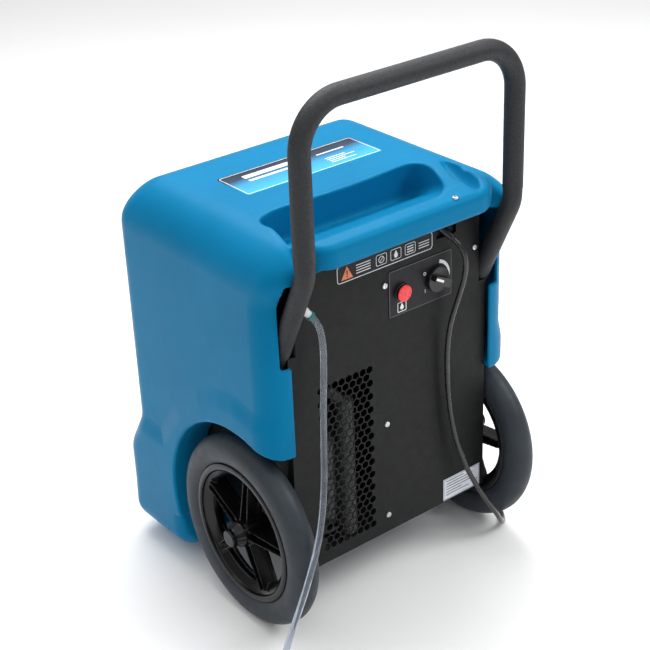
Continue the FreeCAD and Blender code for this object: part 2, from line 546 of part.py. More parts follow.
# ---------------------------------------------------------------- drain fitting, cord exit
def build_fittings():
    tail = rod((FITTING_X, fwd(14), FITTING_Z), V(0, -1, 0), 6, 22)
    flange = rod((FITTING_X, PANEL_Y, FITTING_Z), V(0, -1, 0), 9.5, 3)
    elbow = V(FITTING_X, ELBOW_Y, FITTING_Z)
    ball = Part.makeSphere(6.6, elbow)
    neck = rod(elbow, Y, 6, 12)
    spout = Part.makeCylinder(5.6, SPOUT, elbow, HOSE_OUT)
    add("drain_elbow", fused([tail, flange, neck, ball, spout]))
    collar_at = HOSE_START + HOSE_OUT * 0.2
    collar = Part.makeCylinder(6.9, 5, collar_at, HOSE_OUT)
    add("hose_collar", collar.cut(Part.makeCylinder(HOSE_R + 0.02, 5, collar_at, HOSE_OUT)))
    relief = Part.makeCone(7.6, 5.2, RELIEF_LENGTH, CORD_START - CORD_OUT * RELIEF_LENGTH, CORD_OUT)
    head = Part.makeCylinder(8.6, RELIEF_HEAD, RELIEF_TAIL, CORD_OUT)
    relief = relief.fuse(head).removeSplitter()
    add("strain_relief", relief)
    shelf = box(CORD_X - 24, CORD_X + 24, fwd(0.5), fwd(6), 546, 547.5)
    upright = box(CORD_X - 24, CORD_X + 24, fwd(4.5), fwd(6), 546, 577)
    add("rear_panel", fused([PARTS["rear_panel"], shelf, upright]).cut(relief))


build_fittings()

# ---------------------------------------------------------------- air path and cooling circuit
def build_coil(name, back_d, depth, x_half, z0, z1, rows):
    """Fin pack between two end plates, with hairpin bends outside the plates."""
    core = box(-x_half, x_half, fwd(back_d), fwd(back_d + depth), z0, z1)
    plate = box(x_half, x_half + 1.5, fwd(back_d - 2), fwd(back_d + depth + 2), z0 - 3, z1 + 3)
    block = fused([core] + both_sides(plate))
    bends = []
    step = (z1 - z0 - 24) / (rows - 1)
    for s in (1, -1):
        first = 0 if s > 0 else 1
        for k in range(first, rows - 1, 2):
            low, high = z0 + 12 + k * step, z0 + 12 + (k + 1) * step
            root = s * (x_half + 1.5)
            y = fwd(back_d + depth / 2)
            points = [V(root, y, low), V(root + s * 12, y, low), V(root + s * 12, y, high), V(root, y, high)]
            path, _ = soft_path(points, [0, 9, 9, 0])
            bends.append(sweep(path, 4.0))
    add(name, [block] + bends)


def build_air_path():
    build_coil("condenser", 214, 34, 142, 104, 500, 12)
    build_coil("evaporator", 272, 42, 142, 122, 500, 10)
    tray = box(-150, 150, fwd(264), fwd(324), PANEL_BOTTOM + SHEET, 114)
    add("drip_tray", tray.cut(box(-148, 148, fwd(266), fwd(322), PANEL_BOTTOM + SHEET + 2, 116)))
    plate = box(-164, 164, fwd(206), fwd(208), PANEL_BOTTOM + SHEET, 512)
    plate = plate.cut(rod((0, fwd(200), FAN_Z), Y, FAN_R + 5, 20))
    bell = ring((0, fwd(184), FAN_Z), Y, FAN_R + 6.5, FAN_R + 5, 24)
    add("fan_shroud", fused([plate, bell]))
    hub = rod((0, fwd(184), FAN_Z), Y, 27, 20)
    blades = []
    for k in range(5):
        blade = box(-27, 27, fwd(193), fwd(195), FAN_Z + 20, FAN_Z + FAN_R + 4)
        blade.rotate(V(0, fwd(194), FAN_Z), Z, 24)
        blade.rotate(V(0, fwd(194), FAN_Z), Y, 72 * k)
        blades.append(blade)
    fan = fused([hub] + blades).common(rod((0, fwd(150), FAN_Z), Y, FAN_R, 100))
    shaft = rod((0, fwd(150), FAN_Z), Y, 4, 57)
    add("fan_impeller", fan.cut(shaft))
    add("fan_shaft", shaft)
    can = rod((0, fwd(118), FAN_Z), Y, 42, 58)
    can = can.makeFillet(5, edges_where(can, lambda e: e.Length > 200))
    arms = []
    for angle in (45, 135, 225, 315):
        arm = box(-6, 6, fwd(176), fwd(179), FAN_Z + 20, FAN_Z + 136)
        foot = box(-6, 6, fwd(176), fwd(206), FAN_Z + 133, FAN_Z + 136)
        arm = arm.fuse(foot)
        arm.rotate(V(0, fwd(178), FAN_Z), Y, angle)
        arms.append(arm)
    spider = fused([rod((0, fwd(176), FAN_Z), Y, 34, 3)] + arms).cut(rod((0, fwd(170), FAN_Z), Y, 5, 20))
    add("fan_motor", [can.cut(rod((0, fwd(149), FAN_Z), Y, 4 + RUNNING, 60)), spider])


def build_compressor():
    x, y = COMPRESSOR_X, fwd(88)
    can = rod((x, y, 116), Z, 60, 176)
    can = can.makeFillet(24, edges_where(can, lambda e: e.Length > 300))
    seam = ring((x, y, 206), Z, 61.5, 59, 5)
    legs = prism([(-70, -50), (70, -50), (70, 50), (-70, 50)], lambda a, b: V(x + a, y + b, 110), Z * 6.2, 12)
    holes = [rod((x + a, y + b, 100), Z, 6, 30) for a, b in GROMMETS]
    terminal = box(x + 40, x + 72, y - 18, y + 18, 220, 262)
    add("compressor", fused([can, seam, legs, rounded(terminal, 4, Z)]).cut(holes))
    feet = []
    for a, b in GROMMETS:
        low = rod((x + a, y + b, PANEL_BOTTOM + SHEET), Z, 9, 110 - PANEL_BOTTOM - SHEET)
        stem = rod((x + a, y + b, 108), Z, 6, 10)
        top = rod((x + a, y + b, 116.2), Z, 8, 4)
        feet.append(fused([low, stem, top]))
    add("compressor_grommets", feet)


def build_pipes():
    x = COMPRESSOR_X
    suction = [V(-120, fwd(293), 503), V(-120, fwd(293), 530), V(-136, fwd(200), 530), V(-148, fwd(148), 500),
               V(-148, fwd(105), 420), V(-112, fwd(52), 380), V(-80, fwd(17.5), 346), V(-75, fwd(17.5), 290),
               V(-77, fwd(17.5), 230), V(x, fwd(17.5), 130), V(x, fwd(42), 130)]
    path, _ = soft_path(suction, [0, 14, 40, 40, 50, 40, 40, 60, 60, 12, 0])
    add("suction_pipe", sweep(path, 8.5).cut(PARTS["compressor"]))
    discharge = [V(x + 20, fwd(96), 292), V(x + 20, fwd(96), 330), V(x + 20, fwd(150), 338),
                 V(x + 20, fwd(150), 520), V(x + 30, fwd(222), 526), V(x + 30, fwd(222), 503.5)]
    path, _ = soft_path(discharge, [0, 16, 16, 16, 10, 0])
    add("discharge_pipe", sweep(path, 4.0))
    path, _ = soft_path([V(157.5, fwd(256), 118), V(166, fwd(256), 118), V(166, fwd(256), 222)], [0, 8, 0])
    drier = rod((166, fwd(256), 220), Z, 7, 70)
    drier = drier.makeFillet(3, edges_where(drier, lambda e: e.Length > 40))
    add("liquid_line", sweep(path, 3.0).fuse(drier).removeSplitter())


def build_pump():
    tank = box(52, 150, fwd(22), fwd(122), PANEL_BOTTOM + SHEET, 166)
    tank = rounded(tank, 8, Z)
    hollow = rounded(box(55, 147, fwd(25), fwd(119), PANEL_BOTTOM + SHEET + 3, 170), 6, Z)
    add("pump_tank", tank.cut(hollow))
    lid = rounded(box(50, 152, fwd(20), fwd(124), 166, 169), 9, Z)
    stem = rod((FLOAT_X, FLOAT_Y, 106), Z, 2.5, 62)
    stop = rod((FLOAT_X, FLOAT_Y, 104), Z, 5, 2)
    add("tank_lid", fused([lid, stem, stop]))
    motor = rod((86, fwd(74), 169), Z, 25, 40)
    motor = motor.makeFillet(4, edges_where(motor, lambda e: e.CenterOfMass.z > 208))
    outlet = rod((122, fwd(74), 169), Z, 5, 16)
    add("drain_pump", fused([motor, outlet, box(90, 122, fwd(66), fwd(82), 169, 177)]))
    ball = rod((FLOAT_X, FLOAT_Y, 106.3), Z, 13, 18)
    ball = ball.makeFillet(4, edges_where(ball, lambda e: e.Length > 70))
    add("tank_float", ball.cut(rod((FLOAT_X, FLOAT_Y, 100), Z, 2.5 + RUNNING, 40)))
    points = [V(122, fwd(74), 185), V(122, fwd(74), 260), V(116, fwd(66), 340), V(70, fwd(58), 408),
              V(-30, fwd(50), 424), V(-120, fwd(40), 440), V(FITTING_X, fwd(34), 478),
              V(FITTING_X, fwd(32), FITTING_Z), V(FITTING_X, fwd(14), FITTING_Z)]
    path, _ = soft_path(points, [0, 80, 60, 50, 80, 40, 20, 14, 0])
    add("inner_hose", sweep(path, HOSE_R))


def build_electrics():
    case = rounded(box(34, 160, fwd(46), fwd(112), 432, 544), 4, Y)
    can = rod((-62, fwd(62), 466), X, 19, 70)
    can = can.makeFillet(3, edges_where(can, lambda e: e.Length > 100))
    add("electrical_box", [case, can])
    points = [RELIEF_TAIL, RELIEF_TAIL - CORD_OUT * 14, V(84, fwd(44), 582), V(84, fwd(74), 572),
              V(84, fwd(74), 544)]
    path, _ = soft_path(points, [0, 20, 12, 12, 0])
    add("inner_lead", sweep(path, MAINS_R))


def build_intake():
    frame = intake_outline(0.4, HOOD_FRONT - 8, HOOD_FRONT + 1, 17.6)
    hole = intake_outline(12, HOOD_FRONT - 10, HOOD_FRONT + 3, 10.0)
    slats = [box(-137, 137, HOOD_FRONT - 7, HOOD_FRONT, z, z + 3) for z in range(279, 535, 17)]
    stays = [box(x - 2, x + 2, HOOD_FRONT - 8, HOOD_FRONT - 3, 262, 542) for x in (-68, 0, 68)]
    add("intake_grille", fused([frame.cut(hole)] + slats + stays))
    rim = front_prism([(-158, 240), (-158, 556), (158, 556), (158, 240)], fwd(341), fwd(355), 8.0)
    window = front_prism([(-146, 252), (-146, 544), (146, 544), (146, 252)], fwd(340), fwd(358), 6.0)
    mat = front_prism([(-146, 252), (-146, 544), (146, 544), (146, 252)], fwd(344), fwd(352), 6.0)
    add("filter_panel", [rim.cut(window), mat])


build_air_path()
build_compressor()
build_pipes()
build_pump()
build_electrics()
build_intake()

# ---------------------------------------------------------------- mains lead and drain hose
def build_cord(name, route, radius):
    path, radii = soft_path([V(*p) for p in route])
    tube = sweep(path, radius)
    expected = math.pi * radius ** 2 * path.Length
    print(name, "length %.0f mm, volume / expected %.4f, radii" % (path.Length, tube.Volume / expected),
          [round(r) for r in radii.values()])
    add(name, tube)


def build_cords():
    build_cord("mains_cord", MAINS_ROUTE, MAINS_R)
    build_cord("drain_hose", HOSE_ROUTE, HOSE_R)
    for name, (x, y, outer, inner, height) in (("mains_coil", MAINS_COIL), ("hose_coil", HOSE_COIL)):
        add(name, ring((x, y, 0), Z, outer, inner, height))
    x = MAINS_COIL[0] - MAINS_COIL[2] + 4.5     # the plug lies beside the coil
    nose = Part.makeCone(5.5, 9, 24, V(x, PLUG_Y, 12.2), Y)
    body = box(x - 15, x + 15, PLUG_Y + 24, PLUG_Y + 52, 0.2, 24.2)
    body = rounded(body, 5, Y)
    blades = [box(x + s * 6.3 - 0.8, x + s * 6.3 + 0.8, PLUG_Y + 50, PLUG_Y + 70, 10, 16.5) for s in (1, -1)]
    earth = rod((x, PLUG_Y + 50, 6.5), Y, 2.4, 21)
    add("mains_plug", fused([nose, body, earth] + blades))
    end = V(HOSE_COIL[0] - 26, HOSE_COIL[1] + HOSE_COIL[2] - 5, 14.6)
    barb = Part.makeCylinder(5.5, 24, end, V(-1, 0, 0))
    nut = hex_head((end.x - 24, end.y, end.z), V(-1, 0, 0), 24, 12)
    mouth = Part.makeCylinder(11, 8, V(end.x - 36, end.y, end.z), V(-1, 0, 0))
    bore = Part.makeCylinder(7.5, 14, V(end.x - 32, end.y, end.z), V(-1, 0, 0))
    add("hose_end_fitting", fused([barb, nut, mouth]).cut(bore))


build_cords()

# ---------------------------------------------------------------- write one file per piece
os.makedirs("parts", exist_ok=True)
for node, shape in PARTS.items():
    if not shape.isValid():
        print("not valid:", node)
    shape.exportStep("parts/%s.step" % node)
print(len(PARTS), "nodes")
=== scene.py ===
"""Looks of a portable dehumidifier on two wheels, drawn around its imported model.

Everything is in metres in the part's own frame: +Z up, floor at z = 0, the rear panel faces -Y.
Outlines on the machine are given in millimetres, with "d" the distance forward of the rear panel.
"""
import bpy
import bmesh
import json
import math
import numpy as np
import openvdb
from mathutils import Matrix, Vector


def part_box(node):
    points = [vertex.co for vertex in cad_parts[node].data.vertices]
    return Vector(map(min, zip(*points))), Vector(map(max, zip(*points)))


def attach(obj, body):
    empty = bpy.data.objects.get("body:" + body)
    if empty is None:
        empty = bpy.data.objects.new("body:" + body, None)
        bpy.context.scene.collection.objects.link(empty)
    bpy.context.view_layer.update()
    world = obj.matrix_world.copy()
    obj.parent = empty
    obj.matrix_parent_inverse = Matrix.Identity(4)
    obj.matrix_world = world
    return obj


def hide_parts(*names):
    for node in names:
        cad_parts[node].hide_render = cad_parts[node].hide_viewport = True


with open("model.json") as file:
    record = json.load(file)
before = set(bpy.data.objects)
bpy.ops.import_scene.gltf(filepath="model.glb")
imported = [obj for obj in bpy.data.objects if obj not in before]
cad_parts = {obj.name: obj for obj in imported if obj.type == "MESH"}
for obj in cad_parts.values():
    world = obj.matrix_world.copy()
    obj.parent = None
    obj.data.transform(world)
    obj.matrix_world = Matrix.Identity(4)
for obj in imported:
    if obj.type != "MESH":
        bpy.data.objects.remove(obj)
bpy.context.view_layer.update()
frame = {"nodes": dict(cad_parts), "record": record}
NODES = frame["nodes"]
MM = 0.001


def middle(node):
    low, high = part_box(node)
    return (low + high) / 2


# ---------------------------------------------------------------- places read from the frame
PANEL_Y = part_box("rear_panel")[0].y         # outer face of the rear panel
PLATE_LOW, PLATE_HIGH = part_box("control_plate")
HAZARD_LOW, HAZARD_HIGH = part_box("hazard_label")
RATING_LOW, RATING_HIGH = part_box("rating_label")
TOP_LOW, TOP_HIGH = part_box("top_label")
KNOB = middle("control_knob")
BUTTON = middle("purge_button")
AXLE = middle("wheel_hub_left")
WHEEL_X = abs(AXLE.x)


# ---------------------------------------------------------------- camera
EYE = Vector((-1.24198, -1.62020, 1.45613))
YAW, PITCH, ROLL = 0.656, 0.483, -0.042     # radians: to the right of +Y, down, and about the line of sight
SENSOR, FOCAL_LENGTH = 36.0, 82.96          # mm
NEAREST, FARTHEST = 0.05, 50.0


def make_camera():
    ahead = Vector((math.sin(YAW) * math.cos(PITCH), math.cos(YAW) * math.cos(PITCH), -math.sin(PITCH)))
    side = Vector((math.cos(YAW), -math.sin(YAW), 0.0))
    up = side.cross(ahead)
    right = math.cos(ROLL) * side + math.sin(ROLL) * up
    top = -math.sin(ROLL) * side + math.cos(ROLL) * up
    data = bpy.data.cameras.new("camera")
    data.sensor_width = SENSOR
    data.lens = FOCAL_LENGTH
    data.clip_start = NEAREST
    data.clip_end = FARTHEST
    camera = bpy.data.objects.new("camera", data)
    turn = Matrix((right, top, -ahead)).transposed()
    camera.matrix_world = Matrix.Translation(EYE) @ turn.to_4x4()
    bpy.context.scene.collection.objects.link(camera)
    bpy.context.scene.camera = camera


make_camera()


# ---------------------------------------------------------------- materials
class Shader:
    """A Principled material with helpers for procedural colour, roughness and bump."""

    def __init__(self, name, colour, rough, metal=0.0, **constants):
        self.material = bpy.data.materials.new(name)
        self.material.use_nodes = True
        self.tree = self.material.node_tree
        self.shader = self.tree.nodes["Principled BSDF"]
        self.shader.inputs["Base Color"].default_value = (*colour, 1.0)
        self.shader.inputs["Roughness"].default_value = rough
        self.shader.inputs["Metallic"].default_value = metal
        for socket, value in constants.items():
            self.shader.inputs[socket.replace("_", " ")].default_value = value
        self.colour = colour
        self.rough = rough
        coordinates = self.tree.nodes.new("ShaderNodeTexCoord")
        self.place = coordinates.outputs["Object"]
        self.heights = []

    def node(self, kind, **values):
        made = self.tree.nodes.new(kind)
        for key, value in values.items():
            if hasattr(made, key):
                setattr(made, key, value)
            else:
                made.inputs[key.replace("_", " ")].default_value = value
        return made

    def link(self, start, end):
        self.tree.links.new(start, end)

    def noise(self, scale, detail=3.0, place=None, distortion=0.0):
        made = self.node("ShaderNodeTexNoise", Scale=scale, Detail=detail, Distortion=distortion)
        self.link(place or self.place, made.inputs["Vector"])
        return made.outputs["Fac"]

    def spread(self, value, low, high, start=0.3, end=0.7):
        made = self.node("ShaderNodeMapRange")
        for socket, number in (("From Min", start), ("From Max", end), ("To Min", low), ("To Max", high)):
            made.inputs[socket].default_value = number
        self.link(value, made.inputs["Value"])
        return made.outputs["Result"]

    def ramp(self, value, stops):
        made = self.node("ShaderNodeValToRGB")
        elements = made.color_ramp.elements
        elements[0].position, elements[0].color = stops[0][0], (*stops[0][1], 1.0)
        elements[1].position, elements[1].color = stops[-1][0], (*stops[-1][1], 1.0)
        for position, colour in stops[1:-1]:
            elements.new(position).color = (*colour, 1.0)
        self.link(value, made.inputs["Fac"])
        return made.outputs["Color"]

    def mottle(self, scale, amount, detail=3.0):
        """Vary the base colour by a share of itself."""
        dark = tuple(c * (1 - amount) for c in self.colour)
        pale = tuple(min(1.0, c * (1 + amount)) for c in self.colour)
        value = self.noise(scale, detail)
        self.link(self.ramp(value, [(0.3, dark), (0.7, pale)]), self.shader.inputs["Base Color"])
        return self

    def vary_rough(self, scale, amount, detail=3.0):
        value = self.spread(self.noise(scale, detail), self.rough - amount, self.rough + amount)
        self.link(value, self.shader.inputs["Roughness"])
        return self

    def grain(self, scale, depth, detail=2.0, place=None):
        """Add a fine raised grain, depth in metres."""
        self.heights.append((self.noise(scale, detail, place), depth))
        return self

    def raise_by(self, value, depth):
        self.heights.append((value, depth))
        return self

    def done(self):
        normal = None
        for value, depth in self.heights:
            bump = self.node("ShaderNodeBump", Distance=depth, Strength=1.0)
            self.link(value, bump.inputs["Height"])
            if normal is not None:
                self.link(normal, bump.inputs["Normal"])
            normal = bump.outputs["Normal"]
        if normal is not None:
            self.link(normal, self.shader.inputs["Normal"])
        return self.material


def math_node(shader, operation, first, second):
    made = shader.node("ShaderNodeMath", operation=operation)
    for slot, value in enumerate((first, second)):
        if isinstance(value, (int, float)):
            made.inputs[slot].default_value = value
        else:
            shader.link(value, made.inputs[slot])
    return made.outputs["Value"]


def hood_blue():
    """Rotomoulded polyethylene: satin, slightly waxy, with a soft orange peel."""
    shader = Shader("hood_plastic", (0.0030, 0.165, 0.338), 0.38, Specular_IOR_Level=0.10,
                    Specular_Tint=(0.12, 0.60, 0.90, 1.0))
    shader.mottle(9.0, 0.05).vary_rough(45.0, 0.05)
    return shader.grain(900.0, 0.00005).grain(140.0, 0.00008).done()


def panel_black():
    """Powder-coated sheet: near black with a fine texture."""
    shader = Shader("panel_paint", (0.0090, 0.0095, 0.0100), 0.46, Specular_IOR_Level=0.15)
    shader.mottle(60.0, 0.22).vary_rough(160.0, 0.07)
    return shader.grain(1500.0, 0.00006).done()


def handle_black():
    shader = Shader("handle_paint", (0.0150, 0.0160, 0.0185), 0.56, Specular_IOR_Level=0.40)
    return shader.mottle(300.0, 0.3).vary_rough(200.0, 0.07).grain(700.0, 0.0002).done()


def grip_foam():
    """Closed-cell foam sleeve with a pebbled skin."""
    shader = Shader("grip_rubber", (0.0150, 0.0160, 0.0185), 0.60, Specular_IOR_Level=0.45)
    shader.mottle(400.0, 0.35).vary_rough(260.0, 0.08)
    return shader.grain(520.0, 0.0004, 1.0).grain(1400.0, 0.00015).done()


def tyre_grey():
    shader = Shader("tyre_rubber", (0.030, 0.038, 0.047), 0.50, Specular_IOR_Level=0.3)
    return shader.mottle(24.0, 0.14).vary_rough(70.0, 0.06).grain(700.0, 0.00006).done()


def hub_black():
    shader = Shader("hub_plastic", (0.0040, 0.0040, 0.0047), 0.22, Specular_IOR_Level=0.30)
    return shader.mottle(30.0, 0.2).vary_rough(55.0, 0.04).grain(900.0, 0.00002).done()


def zinc():
    shader = Shader("zinc_screw", (0.62, 0.64, 0.64), 0.30, metal=1.0)
    return shader.mottle(900.0, 0.15).vary_rough(500.0, 0.10).grain(2200.0, 0.00004).done()


def plain_metal(name, colour, rough):
    shader = Shader(name, colour, rough, metal=1.0)
    return shader.mottle(120.0, 0.12).vary_rough(90.0, 0.08).grain(800.0, 0.00004).done()


def moulded(name, colour, rough, **constants):
    """Small moulded plastic or rubber pieces."""
    shader = Shader(name, colour, rough, **constants)
    return shader.mottle(140.0, 0.10).vary_rough(200.0, 0.05).grain(1100.0, 0.00004).done()


def clear_tube():
    """Soft clear vinyl with a cloudy bluish body."""
    shader = Shader("clear_vinyl", (0.58, 0.64, 0.74), 0.10, IOR=1.40, Transmission_Weight=0.88,
                    Specular_IOR_Level=0.8)
    return shader.mottle(60.0, 0.16).vary_rough(90.0, 0.05).grain(240.0, 0.00006).done()


def lead_rubber():
    shader = Shader("cable_rubber", (0.0095, 0.0095, 0.0105), 0.30, Coat_Weight=0.2, Coat_Roughness=0.2)
    return shader.mottle(160.0, 0.2).vary_rough(120.0, 0.06).grain(900.0, 0.00004).done()


def insulation():
    """Foam pipe sleeve under a knitted net."""
    shader = Shader("insulation", (0.050, 0.051, 0.054), 0.36)
    shader.mottle(300.0, 0.5).vary_rough(200.0, 0.12)
    return shader.grain(700.0, 0.0003).done()


def fins():
    """Packed aluminium fins seen edge on, with painted shade: dark bands in the colour stand for the shaded
    gaps between the fins.
    """
    shader = Shader("coil_aluminium", (0.55, 0.56, 0.57), 0.35, metal=1.0)
    wave = shader.node("ShaderNodeTexWave", Scale=160.0, bands_direction="X", Distortion=0.4)
    shader.link(shader.place, wave.inputs["Vector"])
    # the dark stop of this ramp is painted shade in the gaps between fins; the pale stop is the fin metal
    shader.link(shader.ramp(wave.outputs["Fac"], [(0.2, (0.10, 0.10, 0.11)), (0.7, (0.55, 0.56, 0.57))]),
                shader.shader.inputs["Base Color"])
    return shader.raise_by(wave.outputs["Fac"], 0.0006).vary_rough(90.0, 0.08).done()


def mesh_filter():
    shader = Shader("filter_mesh", (0.030, 0.032, 0.034), 0.7)
    wave = shader.node("ShaderNodeTexWave", Scale=110.0, bands_direction="X", Distortion=0.2)
    shader.link(shader.place, wave.inputs["Vector"])
    return shader.raise_by(wave.outputs["Fac"], 0.0005).mottle(500.0, 0.3).vary_rough(120.0, 0.1).done()


def label_gradient():
    """Printed film that fades from bright blue at the rear to near black at the front."""
    shader = Shader("label_blue", (0.02, 0.32, 0.62), 0.22, Coat_Weight=0.4, Coat_Roughness=0.08)
    split = shader.node("ShaderNodeSeparateXYZ")
    shader.link(shader.place, split.inputs["Vector"])
    waviness = 0.008
    slant = math_node(shader, "ADD", split.outputs["Y"],
                      math_node(shader, "MULTIPLY", shader.noise(14.0, 2.0), waviness))
    share = shader.spread(slant, 0.0, 1.0, TOP_LOW.y + waviness / 2, TOP_HIGH.y + waviness / 2)
    stops = [(0.0, (0.05, 0.46, 0.78)), (0.45, (0.03, 0.30, 0.60)), (0.72, (0.012, 0.04, 0.09)),
             (1.0, (0.006, 0.007, 0.010))]
    shader.link(shader.ramp(share, stops), shader.shader.inputs["Base Color"])
    return shader.vary_rough(60.0, 0.05).grain(900.0, 0.00002).done()


def printed(name, colour, rough=0.35):
    shader = Shader(name, colour, rough)
    return shader.mottle(500.0, 0.08).vary_rough(300.0, 0.06).grain(1500.0, 0.00002).done()


FINISH = {
    "hood_plastic": hood_blue(),
    "panel_paint": panel_black(),
    "galvanised": plain_metal("galvanised", (0.46, 0.48, 0.49), 0.42),
    "handle_paint": handle_black(),
    "grip_rubber": grip_foam(),
    "zinc_screw": zinc(),
    "tyre_rubber": tyre_grey(),
    "hub_plastic": hub_black(),
    "bush_bronze": plain_metal("bush_bronze", (0.50, 0.33, 0.14), 0.35),
    "axle_steel": plain_metal("axle_steel", (0.50, 0.50, 0.51), 0.28),
    "foot_rubber": moulded("foot_rubber", (0.014, 0.014, 0.014), 0.7),
    "black_plastic": moulded("black_plastic", (0.0075, 0.0075, 0.0085), 0.34),
    "button_red": moulded("button_red", (0.78, 0.012, 0.018), 0.30, Coat_Weight=0.3, Coat_Roughness=0.15),
    "label_black": moulded("label_black", (0.0100, 0.0100, 0.0125), 0.40, Specular_IOR_Level=0.2),
    "label_white": moulded("label_white", (0.66, 0.69, 0.76), 0.30, Coat_Weight=0.3, Coat_Roughness=0.1),
    "label_blue": label_gradient(),
    "fitting_white": moulded("fitting_white", (0.72, 0.73, 0.72), 0.35, Subsurface_Weight=0.08),
    "collar_green": moulded("collar_green", (0.012, 0.165, 0.165), 0.35),
    "compressor_paint": moulded("compressor_paint", (0.045, 0.047, 0.050), 0.22, Coat_Weight=0.4),
    "coil_aluminium": fins(),
    "copper": plain_metal("copper", (0.62, 0.28, 0.15), 0.30),
    "insulation": insulation(),
    "grey_plastic": moulded("grey_plastic", (0.11, 0.115, 0.12), 0.45),
    "filter_mesh": mesh_filter(),
    "cable_rubber": lead_rubber(),
    "clear_vinyl": clear_tube(),
}
INK_WHITE = printed("ink_white", (0.78, 0.79, 0.80))
INK_ORANGE = printed("ink_orange", (0.78, 0.20, 0.055))
INK_BLACK = printed("ink_black", (0.008, 0.008, 0.010))
INK_GREY = printed("ink_grey", (0.085, 0.090, 0.100))


def dress_nodes():
    """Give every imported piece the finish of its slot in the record."""
    for part in frame["record"]["subparts"]:
        mesh = NODES[part["node"]].data
        mesh.materials.clear()
        mesh.materials.append(FINISH[part["material_slot"]])


dress_nodes()


# ---------------------------------------------------------------- mesh helpers
def new_object(name, data, material, body="root"):
    made = bpy.data.objects.new(name, data)
    bpy.context.scene.collection.objects.link(made)
    data.materials.append(material)
    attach(made, body)
    return made


def mesh_object(name, points, faces, material, body="root", smooth=False):
    mesh = bpy.data.meshes.new(name)
    mesh.from_pydata([tuple(p) for p in points], [], [tuple(f) for f in faces])
    if smooth:
        mesh.shade_smooth()
    mesh.update()
    return new_object(name, mesh, material, body)


# ---------------------------------------------------------------- cords
POINTS_PER_TURN = 12
CLIMB_TURNS = 0.6               # share of a turn in which a coil climbs from its lower layer to its upper one


def coil_turns(centre, outer, inner, turns, start, way, low, high):
    """Control points of a flat coil that winds in on one layer and out again on the next."""
    reach = 1 / math.cos(math.pi / POINTS_PER_TURN)     # the curve runs inside its control points by this
    points = []
    half = turns / 2
    for i in range(turns * POINTS_PER_TURN + 1):
        t = i / POINTS_PER_TURN
        radius = inner + (outer - inner) * abs(t - half) / half
        climb = min(1.0, max(0.0, (t - half + CLIMB_TURNS / 2) / CLIMB_TURNS))
        angle = start + way * 2 * math.pi * t
        points.append((centre[0] + reach * radius * math.cos(angle),
                       centre[1] + reach * radius * math.sin(angle),
                       low + (high - low) * climb * climb * (3 - 2 * climb)))
    return points


def make_cord(name, route, radius, slot, cad_nodes):
    curve = bpy.data.curves.new(name, "CURVE")
    curve.dimensions = "3D"
    curve.bevel_depth = radius
    curve.bevel_resolution = 5
    curve.resolution_u = 6
    curve.use_fill_caps = True
    spline = curve.splines.new("NURBS")
    spline.points.add(len(route) - 1)
    for point, place in zip(spline.points, route):
        point.co = (place[0] * MM, place[1] * MM, place[2] * MM, 1.0)
    spline.order_u = 3
    spline.use_endpoint_u = True
    made = new_object(name, curve, FINISH[slot])
    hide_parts(*cad_nodes)
    return made


MAINS_ROUTE = [(111.0, -172.0, 555.5), (118.0, -185.2, 544.3), (121.5, -190.5, 521.0), (121.0, -189.0, 496.0),
               (114.0, -184.0, 464.0), (101.5, -178.0, 420.0), (98.0, -175.0, 374.0), (99.0, -175.0, 320.0),
               (104.5, -176.0, 262.0), (114.0, -180.0, 208.0), (131.0, -188.0, 152.0), (157.0, -197.0, 98.0),
               (184.0, -200.0, 54.0), (207.0, -190.0, 20.0), (231.0, -170.0, 4.05), (250.0, -142.0, 4.05),
               (259.0, -106.0, 4.05), (262.0, -60.0, 4.05), (263.0, -10.0, 4.05), (263.5, 40.0, 4.05)]
HOSE_ROUTE = [(-158.0, -177.4, 526.2), (-148.7, -181.9, 515.4), (-144.0, -187.0, 492.0),
              (-145.5, -190.0, 452.0), (-152.5, -194.0, 396.0), (-162.0, -203.0, 336.0),
              (-176.0, -219.0, 276.0), (-204.0, -240.0, 213.0), (-243.0, -253.0, 148.0),
              (-279.0, -258.0, 88.0), (-300.0, -262.0, 46.0), (-312.0, -266.0, 16.0),
              (-326.0, -269.0, 4.8), (-345.0, -271.0, 4.8)]
MAINS_RADIUS, HOSE_RADIUS = 4.0, 4.75


def make_cords():
    mains_turns = coil_turns(centre=(322.0, 77.0), outer=57.5, inner=28.5, turns=7, start=math.pi, way=-1,
                             low=4.05, high=12.2)
    mains_end = [(264.5, 88.0, 12.2), (264.5, 99.0, 12.2)]
    mains = make_cord("mains_lead", MAINS_ROUTE + mains_turns + mains_end, MAINS_RADIUS * MM, "cable_rubber",
                      ("mains_cord", "mains_coil"))
    hose_turns = coil_turns(centre=(-345.0, -343.0), outer=71.0, inner=37.0, turns=7, start=math.pi / 2,
                            way=1, low=4.8, high=14.5)
    hose_end = [(-357.0, -272.0, 14.6), (-371.0, -272.0, 14.6)]
    hose = make_cord("drain_line", HOSE_ROUTE + hose_turns + hose_end, HOSE_RADIUS * MM, "clear_vinyl",
                     ("drain_hose", "hose_coil"))


make_cords()


# ---------------------------------------------------------------- hood
# Lengths in mm. A pair of numbers is a band of |x|, d or z: where a form starts and where it is complete.
HOOD_HALF, HOOD_REAR, HOOD_DEPTH = 231.0, -10.0, 369.0
HOOD_TOP, HOOD_FOOT, WALL = 639.0, 25.0, 5.5
TOP_ROUND, CORNER_ROUND, SHOULDER_ROUND, FOOT_ROUND = 75.0, 40.0, 62.0, 36.0
SHOULDER_Z, FOOT_Z = (575.0, 632.0), (40.0, 110.0)

# The rear upper corners reach back around the panel
CORNER_FLARE, CORNER_FLARE_X, CORNER_FLARE_Z = 35.0, (160.0, 190.0), (545.0, 612.0)

